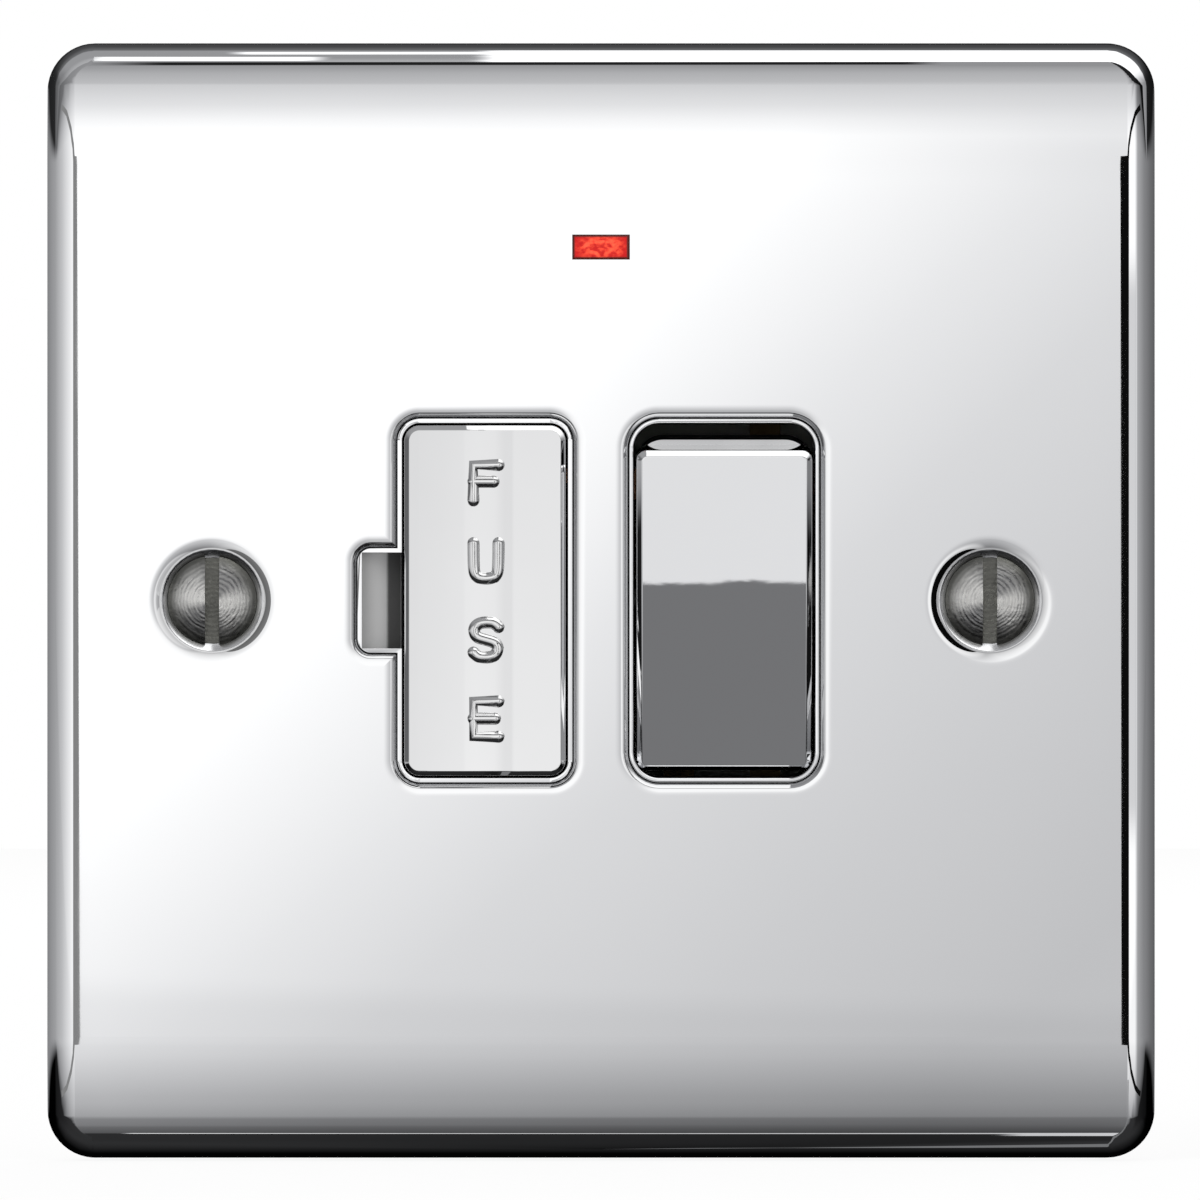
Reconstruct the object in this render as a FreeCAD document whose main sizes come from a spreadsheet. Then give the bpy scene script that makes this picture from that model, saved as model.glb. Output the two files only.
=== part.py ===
# Fused spur unit: a flush 86 mm wall accessory with a double-pole rocker switch,
# a pull-out fuse drawer, a neon indicator and six wire terminals.
# Millimetres. X runs to the right, Z up, and the front looks along -Y.
# The origin is the centre of the plate's rear rim, on the wall.
# Depths are measured from the wall towards the room, so a depth is -Y.
import FreeCAD, Part
import functools
import math
import os
from types import SimpleNamespace

import Sketcher

Vector = FreeCAD.Vector
SIZES = [
    ("plate_width", 86.0, "front plate across"),
    ("plate_height", 86.6, "front plate up and down"),
    ("plate_depth", 5.0, "plate's flat front above the wall"),
    ("plate_wall", 1.0, "sheet the plate is pressed from"),
    ("plate_corner", 3.7, "corner radius in plan"),
    ("plate_edge", 2.2, "edge roll"),
    ("fall_run", 9.5, "length of the curve at top and bottom"),
    ("fall_drop", 1.3, "how far that curve drops"),
    ("lip_bevel", 0.35, "bevel round each opening"),
    ("bridge_left", 2.175, "plate between its centre and the fuse opening"),
    ("bridge_right", 2.125, "plate between its centre and the rocker opening"),
    ("fuse_side_room", 3.65, "fuse opening beyond the fuse, each side"),
    ("fuse_end_room", 1.45, "fuse opening beyond the fuse, each end"),
    ("fuse_open_corner", 1.8, "fuse opening corner radius"),
    ("notch_reach", 3.1, "prising notch beyond the opening"),
    ("notch_height", 8.2, "prising notch up and down"),
    ("notch_corner", 1.1, "prising notch corner radius"),
    ("notch_shallow", 1.3, "notch floor below the plate at its outer side"),
    ("notch_deep", 3.0, "notch floor below the plate beside the drawer"),
    ("rocker_open_width", 14.85, "rocker opening across"),
    ("rocker_open_height", 28.3, "rocker opening up and down"),
    ("rocker_open_corner", 2.4, "rocker opening corner radius"),
    ("bezel_wall", 0.33, "wall of the bright trim rings"),
    ("bezel_inset", 0.22, "trim ring below the plate's front"),
    ("bezel_depth", 3.8, "trim ring front to back"),
    ("seat_gap", 0.05, "clearance of pieces that stay put"),
    ("slide_gap", 0.25, "clearance round the fuse drawer"),
    ("neon_inset", 2.1, "indicator centre below the housing's inner top"),
    ("neon_width", 4.36, "indicator across"),
    ("neon_height", 1.84, "indicator up and down"),
    ("neon_proud", 0.15, "indicator above the plate"),
    ("neon_flange", 0.9, "lens flange round its window"),
    ("neon_flange_thick", 1.0, "lens flange front to back"),
    ("screw_beside", 5.15, "fixing screw axis beside the housing, for 60.3 mm centres"),
    ("screw_radius", 1.75, "fixing screw shank"),
    ("screw_head", 3.46, "fixing screw head radius"),
    ("screw_rise", 0.85, "raised top of the screw head"),
    ("screw_length", 25.0, "fixing screw below its head edge"),
    ("screw_slot", 1.1, "width of the driver slot"),
    ("screw_slot_depth", 1.0, "depth of the driver slot"),
    ("dish_gap", 0.44, "dished seat beyond the screw head"),
    ("dish_depth", 1.9, "dished screw seat front to back"),
    ("screw_clear", 0.3, "room round the screw shanks"),
    ("screw_way_room", 1.25, "room round the fixing screws in the moulding"),
    ("moulding_fit", 0.5, "moulding flange inside the plate's rim"),
    ("flange_thick", 2.2, "moulding flange front to back"),
    ("platform_beside", 3.1, "raised middle beyond the housing screws"),
    ("platform_below", 4.85, "raised middle below the openings"),
    ("platform_above", 3.6, "raised middle above the indicator"),
    ("sleeve_wall", 1.2, "walls round drawer and rocker"),
    ("sleeve_beyond", 0.5, "drawer sleeve behind the drawer"),
    ("well_length", 5.0, "rocker well behind the wall plane"),
    ("cap_gap", 0.2, "drawer front to its ring"),
    ("cap_corner", 1.2, "drawer front corner radius"),
    ("cap_edge", 0.35, "drawer front edge bevel"),
    ("cap_proud", 0.7, "drawer front's sides above the plate"),
    ("cap_rise", 0.25, "extra height along the drawer front's middle"),
    ("cap_skirt", 1.9, "drawer front's sides front to back"),
    ("cap_wall", 0.8, "metal of drawer front and rocker front"),
    ("tray_cheek", 1.2, "drawer side walls"),
    ("tray_length", 12.5, "drawer end behind the wall plane"),
    ("tray_front", 1.4, "drawer front wall"),
    ("cradle_gap", 3.9, "fuse cradle to the clips"),
    ("barb_reach", 0.8, "stop barbs beyond the drawer side"),
    ("barb_height", 2.4, "stop barbs up and down"),
    ("barb_inset", 5.77, "stop barbs in from the drawer's ends"),
    ("drawer_travel", 11.5, "how far the drawer slides out"),
    ("fuse_radius", 3.175, "fuse end caps"),
    ("barrel_radius", 2.95, "fuse barrel"),
    ("fuse_length", 25.4, "fuse end to end"),
    ("fuse_end_length", 5.5, "fuse end caps"),
    ("fuse_depth", -2.0, "fuse axis in front of the wall"),
    ("clip_gap", 0.06, "fuse to clip jaw"),
    ("clip_thick", 0.6, "clip strip"),
    ("clip_height", 4.0, "clip up and down"),
    ("clip_inset", 0.3, "clips in from the fuse's ends"),
    ("clip_flare", 0.6, "clip lips turned out"),
    ("clip_reach", 2.2, "clip jaws in front of the fuse axis"),
    ("rocker_side_gap", 0.255, "rocker to its ring, each side"),
    ("rocker_end_gap", 0.87, "rocker skirt to its ring, each end"),
    ("rocker_proud", 1.3, "rocker's middle above the plate when level"),
    ("rocker_rise", 0.65, "rocker front's middle above its ends"),
    ("rocker_side", 4.0, "rocker front's sides front to back"),
    ("rocker_edge", 0.4, "rocker front edge bevel"),
    ("rocker_corner", 0.8, "rocker front corner round"),
    ("skirt_step", 0.4, "rocker skirt beyond its front, up and down"),
    ("skirt_length", 3.2, "rocker skirt front to back"),
    ("pivot_drop", 7.0, "rocker pivot behind the rocker's middle"),
    ("pivot_radius", 1.5, "rocker trunnions"),
    ("pivot_gap", 0.05, "trunnion to bearing"),
    ("rocker_throw", 7.5, "degrees each side of level"),
    ("pole_offset", 3.4, "each pole beside the rocker's centre"),
    ("plunger_radius", 1.4, "plunger"),
    ("plunger_length", 6.2, "plunger without its nose"),
    ("plunger_nose", 1.4, "narrow nose of the plunger"),
    ("plunger_tip", 0.6, "radius of that nose"),
    ("plunger_gap", 0.08, "plunger nose to level contact arm"),
    ("guide_wall", 1.0, "wall of the plunger guides"),
    ("guide_gap", 0.1, "plunger to guide"),
    ("guide_length", 6.4, "plunger guides behind the pivot"),
    ("spring_wire", 0.4, "plunger spring wire"),
    ("spring_length", 3.1, "plunger spring, compressed"),
    ("arm_pivot_drop", 12.0, "contact arm's rocking line behind the pivot"),
    ("arm_thick", 0.8, "contact arm strip"),
    ("arm_width", 3.4, "contact arm across"),
    ("arm_half", 9.6, "contact arm, middle to end"),
    ("arm_throw", 9.5, "degrees each side of level"),
    ("under_arm", 5.3, "contact arm's rocking line above the housing floor"),
    ("stud_radius", 1.3, "silver contact studs"),
    ("stud_height", 0.9, "silver contact studs"),
    ("stud_place", 8.0, "contact stud from the rocking line"),
    ("contact_gap", 0.06, "closed contacts in this model"),
    ("saddle_foot", 2.72, "foot of the arm's knife edge, half up and down"),
    ("strip", 0.8, "current strips on the floor"),
    ("strip_half_width", 1.2, "current strips, half across"),
    ("strip_gap", 0.3, "fuse strip beside the housing screws"),
    ("strip_clear", 2.1, "live strip to the supply terminals"),
    ("housing_wall", 1.5, "rear housing sides"),
    ("housing_floor", 2.0, "rear housing floor"),
    ("housing_corner", 2.0, "rear housing corner radius"),
    ("housing_bevel", 0.8, "bevel round the housing's back"),
    ("terminal_x", 16.0, "outer terminals beside the centre"),
    ("terminal_room", 10.35, "terminals beyond the openings' ends"),
    ("terminal_gap", 0.5, "terminals to the housing wall"),
    ("terminal_width", 8.0, "terminal block across"),
    ("terminal_half", 4.5, "terminal block, half up and down"),
    ("terminal_tall", 9.0, "terminal block front to back"),
    ("wire_radius", 2.25, "terminal wire bore"),
    ("bore_end_wall", 1.0, "terminal block beyond its wire bore"),
    ("entry_gap", 0.35, "wire entry beyond the bore"),
    ("clamp_radius", 1.9, "terminal clamp screw"),
    ("clamp_length", 3.4, "terminal clamp screw"),
    ("clamp_slot", 0.9, "clamp screw slot width"),
    ("clamp_back_off", 0.4, "clamp screw tip clear of the bore"),
    ("rib_wall", 1.2, "rib thickness"),
    ("rib_overlap", 1.5, "ribs beyond the terminals' inner ends"),
    ("rib_tall", 14.0, "ribs above the floor"),
    ("boss_z", 14.0, "housing screws above and below the centre"),
    ("boss_radius", 2.4, "square bosses round the housing screws, half across"),
    ("boss_split", 9.0, "where front and rear bosses meet, behind the wall"),
    ("boss_room", 0.705, "housing screw bosses beside drawer sleeve and rocker well"),
    ("boss_gap", 0.2, "bosses to the housing wall"),
    ("joint_screw_radius", 1.25, "housing screw shank"),
    ("joint_screw_head", 2.0, "housing screw head radius"),
    ("joint_screw_head_tall", 1.6, "housing screw head"),
    ("joint_screw_length", 13.0, "housing screw under its head"),
    ("lamp_radius", 1.9, "neon lamp glass"),
    ("lamp_length", 8.0, "neon lamp between its ends"),
    ("lamp_depth", -2.4, "neon lamp axis in front of the wall"),
    ("cheek_wall", 1.0, "cheeks that hold the lamp"),
    ("cheek_place", 2.8, "those cheeks from the lamp's middle"),
    ("cheek_beyond", 0.7, "those cheeks above and below the lamp"),
    ("lamp_drop", 0.8, "neon lamp axis below the indicator's"),
    ("resistor_radius", 1.0, "neon's resistor"),
    ("resistor_length", 5.0, "neon's resistor"),
    ("resistor_tail", 3.8, "wire between lamp and resistor"),
    ("lead_radius", 0.3, "neon lead wire"),
    ("earth_strip", 0.8, "earth strip thickness"),
    ("earth_reach", 4.5, "earth strip front to back"),
    ("earth_tab_z", -16.0, "earth tab centre"),
    ("earth_tab_height", 3.0, "earth tab up and down"),
]

document = FreeCAD.newDocument("FusedSpurUnit")
sheet = document.addObject("Spreadsheet::Sheet", "Sizes")
for row, (alias, value, note) in enumerate(SIZES, start=1):
    sheet.set(f"A{row}", note)
    sheet.set(f"B{row}", str(value))
    sheet.setAlias(f"B{row}", alias)
document.recompute()


class Size:
    """A length or angle with its value and the sheet formula that gives it."""

    def __init__(self, value, text):
        self.value = value
        self.text = text

    def __add__(self, other):
        other = as_size(other)
        return Size(self.value + other.value, f"({self.text} + {other.text})")

    def __sub__(self, other):
        other = as_size(other)
        return Size(self.value - other.value, f"({self.text} - {other.text})")

    def __mul__(self, other):
        other = as_size(other)
        return Size(self.value * other.value, f"({self.text} * {other.text})")

    def __truediv__(self, other):
        other = as_size(other)
        return Size(self.value / other.value, f"({self.text} / {other.text})")

    def __neg__(self):
        return Size(-self.value, f"(0 - {self.text})")


def as_size(item):
    """Plain numbers may stand in a formula beside named sizes."""
    return item if isinstance(item, Size) else Size(float(item), str(item))


def sine(angle):
    return Size(math.sin(math.radians(angle.value)), f"sin({angle.text} * 1deg)")


def cosine(angle):
    return Size(math.cos(math.radians(angle.value)), f"cos({angle.text} * 1deg)")


def root(size):
    return Size(math.sqrt(size.value), f"sqrt({size.text})")


def larger(one, other):
    return Size(max(one.value, other.value), f"max({one.text}; {other.text})")


S = SimpleNamespace(**{alias: Size(getattr(sheet, alias), f"Sizes.{alias}") for alias, _, _ in SIZES})


def bind(target, name, size):
    """Ties one property of an object to a formula of the sheet."""
    target.setExpression(name, as_size(size).text)


# Sizes that several pieces share

plate_back = S.plate_depth - S.plate_wall
platform_front = plate_back - S.seat_gap
bezel_front = S.plate_depth - S.bezel_inset
bezel_back = bezel_front - S.bezel_depth
ring_wall = S.bezel_wall + S.seat_gap

fuse_open_width = (S.fuse_radius + S.fuse_side_room) * 2
fuse_open_height = S.fuse_length + S.fuse_end_room * 2
fuse_x = -S.bridge_left - fuse_open_width / 2
fuse_inner_width = fuse_open_width - ring_wall * 2
fuse_inner_height = fuse_open_height - ring_wall * 2
cap_width = fuse_inner_width - S.cap_gap * 2
cap_height = fuse_inner_height - S.cap_gap * 2
sleeve_length = S.tray_length + S.sleeve_beyond
clip_z = (S.fuse_length - S.clip_height) / 2 - S.clip_inset
tray_web = clip_z - S.clip_height / 2 - S.cradle_gap
barb_z = fuse_inner_height / 2 - S.barb_inset

rocker_x = S.bridge_right + S.rocker_open_width / 2
well_inner_width = S.rocker_open_width - ring_wall * 2
well_inner_height = S.rocker_open_height - ring_wall * 2
rocker_width = well_inner_width - S.rocker_side_gap * 2
rocker_half_height = well_inner_height / 2 - S.rocker_end_gap - S.skirt_step
pivot_depth = S.plate_depth + S.rocker_proud - S.pivot_drop
arm_depth = pivot_depth - S.arm_pivot_drop
nose_drop = S.arm_pivot_drop - S.arm_thick - S.plunger_nose - S.plunger_gap

housing_depth = S.under_arm + S.housing_floor - arm_depth
floor_depth = S.housing_floor - housing_depth
tallest_opening = larger(fuse_open_height, S.rocker_open_height)
widest_side = larger(fuse_inner_width / 2 - fuse_x, well_inner_width / 2 + rocker_x)
boss_x = widest_side + S.sleeve_wall + S.boss_room + S.boss_radius
housing_half_width = boss_x + S.boss_radius + S.boss_gap + S.housing_wall
terminal_z = tallest_opening / 2 + S.terminal_room
housing_half_height = terminal_z + S.terminal_half + S.terminal_gap + S.housing_wall
wire_axis_depth = floor_depth + S.terminal_tall / 2
wire_bore_length = S.terminal_half * 2 - S.bore_end_wall
rib_x = S.terminal_x / 2
rib_foot = terminal_z - S.terminal_half - S.rib_overlap
clip_strip_x = S.boss_radius + S.strip_half_width + S.strip_gap - boss_x
strip_row = S.terminal_half + S.strip_half_width + S.strip_clear - terminal_z
neon_z = housing_half_height - S.housing_wall - S.neon_inset
lamp_z = neon_z - S.lamp_drop
resistor_x = -(S.lamp_length + S.resistor_length) / 2 - S.resistor_tail
half_screw_pitch = housing_half_width + S.screw_beside
dish_radius = S.screw_head + S.dish_gap
platform_half_width = boss_x + S.platform_beside
platform_bottom = tallest_opening / 2 + S.platform_below
platform_top = neon_z + S.platform_above
POLES = {"live": -S.pole_offset, "neutral": S.pole_offset}


# Drawing helpers


def new_body(node):
    """An empty body; its label is the name of the exported piece."""
    body = document.addObject("PartDesign::Body", node)
    body.Label = node
    return body


def origin_plane(body, role):
    return next(item for item in body.Origin.OriginFeatures if item.Role == role)


def arc_between(start, end, radius):
    """The shorter arc that bulges to the right of the way from start to end."""
    way = end - start
    half = way.Length / 2
    left = Vector(-way.y, way.x, 0).normalize()
    centre = start + way * 0.5 + left * math.sqrt(radius**2 - half**2)
    first = math.atan2(start.y - centre.y, start.x - centre.x)
    last = math.atan2(end.y - centre.y, end.x - centre.x)
    return Part.ArcOfCircle(Part.Circle(centre, Vector(0, 0, 1), radius), first, last)


def outline(body, name, role, corners, offset=0, arcs=None):
    """A closed outline, counter-clockwise, of corners given as pairs of sizes.

    An edge that bulges outwards has its radius in arcs, under the edge's number.
    """
    arcs = arcs or {}
    sketch = body.newObject("Sketcher::SketchObject", name)
    sketch.AttachmentSupport = [(origin_plane(body, role), "")]
    sketch.MapMode = "FlatFace"
    bind(sketch, "AttachmentOffset.Base.z", offset)
    corners = [(as_size(u), as_size(v)) for u, v in corners]
    points = [Vector(u.value, v.value, 0) for u, v in corners]
    count = len(points)
    for edge in range(count):
        start, end = points[edge], points[(edge + 1) % count]
        if edge in arcs:
            sketch.addGeometry(arc_between(start, end, arcs[edge].value))
        else:
            sketch.addGeometry(Part.LineSegment(start, end))
    for edge in range(count):
        sketch.addConstraint(Sketcher.Constraint("Coincident", edge, 2, (edge + 1) % count, 1))
    for edge, place in enumerate(corners):
        for kind, size in zip(("DistanceX", "DistanceY"), place):
            rule = Sketcher.Constraint(kind, -1, 1, edge, 1, size.value)
            bind(sketch, f"Constraints[{sketch.addConstraint(rule)}]", size)
    for edge, radius in arcs.items():
        rule = Sketcher.Constraint("Radius", edge, radius.value)
        bind(sketch, f"Constraints[{sketch.addConstraint(rule)}]", radius)
    return sketch


def rectangle(half_width, half_height, u=0, v=0):
    """Corners of an upright rectangle round a centre."""
    u, v = as_size(u), as_size(v)
    return [
        (u - half_width, v - half_height),
        (u + half_width, v - half_height),
        (u + half_width, v + half_height),
        (u - half_width, v + half_height),
    ]


def round_rectangle(half_width, half_height, corner, u=0, v=0):
    """Corners of a rectangle with quarter-round corners, and its arcs."""
    u, v = as_size(u), as_size(v)
    flat_width, flat_height = half_width - corner, half_height - corner
    corners = [
        (u - flat_width, v - half_height),
        (u + flat_width, v - half_height),
        (u + half_width, v - flat_height),
        (u + half_width, v + flat_height),
        (u + flat_width, v + half_height),
        (u - flat_width, v + half_height),
        (u - half_width, v + flat_height),
        (u - half_width, v - flat_height),
    ]
    return corners, {edge: corner for edge in (1, 3, 5, 7)}


def span(u_range, v_range):
    """Corners of a rectangle from its ends."""
    (left, right), (low, high) = u_range, v_range
    return [(left, low), (right, low), (right, high), (left, high)]


def pad(body, sketch, length, both_ways=False):
    feature = body.newObject("PartDesign::Pad", sketch.Name + "_pad")
    feature.Profile = sketch
    feature.SideType = "Symmetric" if both_ways else "One side"
    bind(feature, "Length", length)
    return feature


def pocket(body, sketch, depth, both_ways=False):
    """Cuts from the sketch away from its normal, or both ways."""
    feature = body.newObject("PartDesign::Pocket", sketch.Name + "_cut")
    feature.Profile = sketch
    feature.SideType = "Symmetric" if both_ways else "One side"
    bind(feature, "Length", depth)
    return feature


def slab(body, name, corners, back, front, arcs=None):
    """Adds the front view outline between two depths."""
    return pad(body, outline(body, name, "XZ_Plane", corners, back, arcs), as_size(front) - back)


def window(body, name, corners, back, front, arcs=None):
    """Cuts the front view outline away between two depths."""
    return pocket(body, outline(body, name, "XZ_Plane", corners, front, arcs), as_size(front) - back)


def round_edges(body, name, radius, wanted):
    """Fillets the edges of the body's tip for which wanted(edge) is true."""
    document.recompute()
    base = body.Tip
    names = [f"Edge{n}" for n, edge in enumerate(base.Shape.Edges, start=1) if wanted(edge)]
    feature = body.newObject("PartDesign::Fillet", name)
    feature.Base = (base, names)
    bind(feature, "Radius", radius)
    return feature


def bevel_edges(body, name, size, wanted):
    """Chamfers the edges of the body's tip for which wanted(edge) is true."""
    document.recompute()
    base = body.Tip
    names = [f"Edge{n}" for n, edge in enumerate(base.Shape.Edges, start=1) if wanted(edge)]
    feature = body.newObject("PartDesign::Chamfer", name)
    feature.Base = (base, names)
    bind(feature, "Size", size)
    return feature


def runs_along(edge, axis):
    """True for a straight edge in the direction of an axis."""
    if not isinstance(edge.Curve, Part.Line):
        return False
    return abs(edge.tangentAt(edge.FirstParameter).dot(axis)) > 0.999


def lies_at_depth(edge, depth):
    """True for an edge whose points all have the one depth."""
    box = edge.BoundBox
    return abs(box.YMin + depth.value) < 0.01 and abs(box.YMax + depth.value) < 0.01


def upright_corner(depth_low, depth_high):
    """A test for front-to-back edges between two depths."""
    def wanted(edge):
        box = edge.BoundBox
        inside = box.YMin > -depth_high.value - 0.01 and box.YMax < -depth_low.value + 0.01
        return inside and runs_along(edge, Vector(0, 1, 0))
    return wanted


def primitive(kind, name, sizes, place, turn=None):
    """A box, cylinder, cone or sphere with its sizes and place tied to the sheet."""
    item = document.addObject(kind, name)
    if turn:
        item.Placement = FreeCAD.Placement(Vector(), FreeCAD.Rotation(*turn))
    for name_of_size, size in sizes.items():
        bind(item, name_of_size, size)
    for axis, size in zip("xyz", place):
        bind(item, f"Placement.Base.{axis}", size)
    return item


def block(name, x_range, z_range, back, front):
    """A box from its ends; back and front are depths."""
    (left, right), (low, high) = x_range, z_range
    sizes = {
        "Length": as_size(right) - left,
        "Width": as_size(front) - back,
        "Height": as_size(high) - low,
    }
    return primitive("Part::Box", name, sizes, (left, -as_size(front), low))


SIDES = 12
FORWARD = (Vector(1, 0, 0), 90)
RIGHTWARD = (Vector(0, 1, 0), 90)


def rod(name, radius, length, place, turn=None):
    """A cylinder that starts at place and runs up, forward or to the right."""
    return primitive("Part::Cylinder", name, {"Radius": radius, "Height": length}, place, turn)


def small_rod(name, radius, length, place, turn=None):
    """A rod for a small fastener, with few sides because there are many of them."""
    sizes = {"Circumradius": radius, "Height": length}
    item = primitive("Part::Prism", name, sizes, place, turn)
    item.Polygon = SIDES
    return item


def fused(name, items):
    union = document.addObject("Part::MultiFuse", name)
    union.Shapes = items
    union.Label = name
    return union


def cut_away(name, base, tools):
    """The base without the tools, as one piece."""
    tool = tools[0] if len(tools) == 1 else fused(name + "_tools", tools)
    result = document.addObject("Part::Cut", name)
    result.Base = base
    result.Tool = tool
    result.Label = name
    return result


def tilt(item, depth, angle):
    """Turns a piece about the left-to-right line at a depth; a positive angle sends its foot back."""
    item.Placement = FreeCAD.Placement(Vector(), FreeCAD.Rotation(Vector(1, 0, 0), 5))
    bind(item, "Placement.Rotation.Angle", angle * Size(1, "1deg"))
    bind(item, "Placement.Base.y", -depth * (as_size(1) - cosine(angle)))
    bind(item, "Placement.Base.z", depth * sine(angle))


def drill(body, name, kind, sizes, place, turn=None):
    """A round hole or boss as a body feature."""
    feature = body.newObject(kind, name)
    if turn:
        feature.Placement = FreeCAD.Placement(Vector(), FreeCAD.Rotation(*turn))
    for name_of_size, size in sizes.items():
        bind(feature, name_of_size, size)
    for axis, size in zip("xyz", place):
        bind(feature, f"Placement.Base.{axis}", size)
    return feature


def small_hole(body, name, radius, length, place):
    """A hole with as few sides, towards the front, for a small fastener."""
    sizes = {"Circumradius": radius, "Height": length}
    drill(body, name, "PartDesign::SubtractivePrism", sizes, place, FORWARD).Polygon = SIDES


# Front plate and its trim


def fuse_outline(margin=0):
    """The drawer opening with its prising notch, drawn in by a margin."""
    half_width = fuse_open_width / 2 - margin
    half_height = fuse_open_height / 2 - margin
    half_notch = S.notch_height / 2 - margin
    left = fuse_x - half_width
    right = fuse_x + half_width
    outer = left - S.notch_reach
    return [
        (left, -half_height),
        (right, -half_height),
        (right, half_height),
        (left, half_height),
        (left, half_notch),
        (outer, half_notch),
        (outer, -half_notch),
        (left, -half_notch),
    ]


def rocker_outline(margin=0):
    return rectangle(S.rocker_open_width / 2 - margin, S.rocker_open_height / 2 - margin, rocker_x)


def screw_sides():
    return (("left", -half_screw_pitch), ("right", half_screw_pitch))


def rim_tests(half_width, half_height):
    """Tests for the corner edges and for the front rim of a box this far from the centre."""
    def reaches(point):
        at_side = abs(abs(point.X) - half_width.value) < 0.01
        return at_side or abs(abs(point.Z) - half_height.value) < 0.01

    def corner(edge):
        return runs_along(edge, Vector(0, 1, 0)) and all(reaches(point) for point in edge.Vertexes)

    def rim(edge):
        in_place = all(point.Y < -1 and reaches(point) for point in edge.Vertexes)
        return in_place and not runs_along(edge, Vector(0, 1, 0))

    return corner, rim


def make_front_plate():
    """Pressed plate: curved down at top and bottom, rolled edges, pierced openings."""
    body = new_body("front_plate")
    half_width, half_height = S.plate_width / 2, S.plate_height / 2
    flat = half_height - S.fall_run
    side = S.plate_depth - S.fall_drop
    bulge = (S.fall_run * S.fall_run + S.fall_drop * S.fall_drop) / (S.fall_drop * 2)
    profile = [
        (0, -half_height),
        (0, half_height),
        (-side, half_height),
        (-S.plate_depth, flat),
        (-S.plate_depth, -flat),
        (-side, -half_height),
    ]
    sketch = outline(body, "plate_profile", "YZ_Plane", profile, arcs={2: bulge, 4: bulge})
    pad(body, sketch, S.plate_width, both_ways=True)
    wall = S.plate_wall
    inner_half = half_height - wall
    inner_run = S.fall_run - wall
    inner_bulge = bulge - wall
    inner_drop = inner_bulge - root(inner_bulge * inner_bulge - inner_run * inner_run)
    inner_side = plate_back - inner_drop
    hollow = [
        (0, -inner_half),
        (0, inner_half),
        (-inner_side, inner_half),
        (-plate_back, flat),
        (-plate_back, -flat),
        (-inner_side, -inner_half),
    ]
    arcs = {2: inner_bulge, 4: inner_bulge}
    sketch = outline(body, "plate_hollow", "YZ_Plane", hollow, arcs=arcs)
    pocket(body, sketch, (half_width - wall) * 2, both_ways=True)
    outer_corner, outer_rim = rim_tests(half_width, half_height)
    inner_corner, inner_rim = rim_tests(half_width - wall, inner_half)
    round_edges(body, "hollow_corners", S.plate_corner - wall, inner_corner)

    round_edges(body, "plate_corners", S.plate_corner, outer_corner)
    round_edges(body, "plate_edge_roll", S.plate_edge, outer_rim)
    # This bevel keeps the sheet's thickness behind the edge roll
    bevel_edges(body, "hollow_rim", (S.plate_edge - wall) * (2 - math.sqrt(2)), inner_rim)

    dish_floor = S.plate_depth - S.dish_depth
    dish_small = dish_radius - S.dish_depth
    dish = {
        "Radius1": dish_small + wall,
        "Radius2": dish_radius + wall / 2,
        "Height": S.dish_depth - wall / 2,
    }
    seat = {"Radius1": dish_small, "Radius2": dish_radius, "Height": S.dish_depth}
    for side_name, x in screw_sides():
        place = (x, -dish_floor, 0)
        drill(body, f"dish_{side_name}", "PartDesign::AdditiveCone", dish, place, FORWARD)
        drill(body, f"dish_seat_{side_name}", "PartDesign::SubtractiveCone", seat, place, FORWARD)

    behind = plate_back - wall / 2
    window(body, "fuse_opening", fuse_outline(), behind, S.plate_depth)
    window(body, "rocker_opening", rocker_outline(), behind, S.plate_depth)
    neon = rectangle(S.neon_width / 2 + S.seat_gap, S.neon_height / 2 + S.seat_gap, v=neon_z)
    window(body, "neon_opening", neon, behind, S.plate_depth)
    round_opening_corners(body, "plate", plate_back, S.plate_depth, 0)

    def at_front(edge):
        centre = edge.CenterOfMass
        beside = abs(centre.x) < half_screw_pitch.value - dish_radius.value
        level = abs(centre.z) < tallest_opening.value / 2 + 1
        return lies_at_depth(edge, S.plate_depth) and beside and level

    bevel_edges(body, "opening_lips", S.lip_bevel, at_front)


def at_corner(upright, places, edge):
    """True for an upright edge at one of the places, above or below the middle."""
    centre = edge.CenterOfMass
    misses = [max(abs(abs(centre.z) - z), abs(centre.x - x)) for x, z in places]
    return upright(edge) and min(misses) < 0.02


def round_opening_corners(body, prefix, back, front, margin):
    """Corner radii of the drawer and rocker openings, drawn in by a margin."""
    upright = upright_corner(back, front)
    margin = as_size(margin)
    half_height = fuse_open_height.value / 2 - margin.value
    half_width = fuse_open_width.value / 2 - margin.value
    left = fuse_x.value - half_width
    right = fuse_x.value + half_width
    half_notch = S.notch_height.value / 2 - margin.value
    notch_x = left - S.notch_reach.value
    rocker_half = S.rocker_open_width.value / 2 - margin.value
    groups = (
        ("fuse", S.fuse_open_corner, [(left, half_height), (right, half_height)]),
        ("notch", S.notch_corner, [(notch_x, half_notch)]),
        ("rocker", S.rocker_open_corner, [
            (rocker_x.value - rocker_half, S.rocker_open_height.value / 2 - margin.value),
            (rocker_x.value + rocker_half, S.rocker_open_height.value / 2 - margin.value),
        ]),
    )
    for name, radius, places in groups:
        wanted = functools.partial(at_corner, upright, places)
        document.recompute()
        if any(wanted(edge) for edge in body.Tip.Shape.Edges):
            round_edges(body, f"{prefix}_{name}_corners", radius - margin, wanted)


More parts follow.
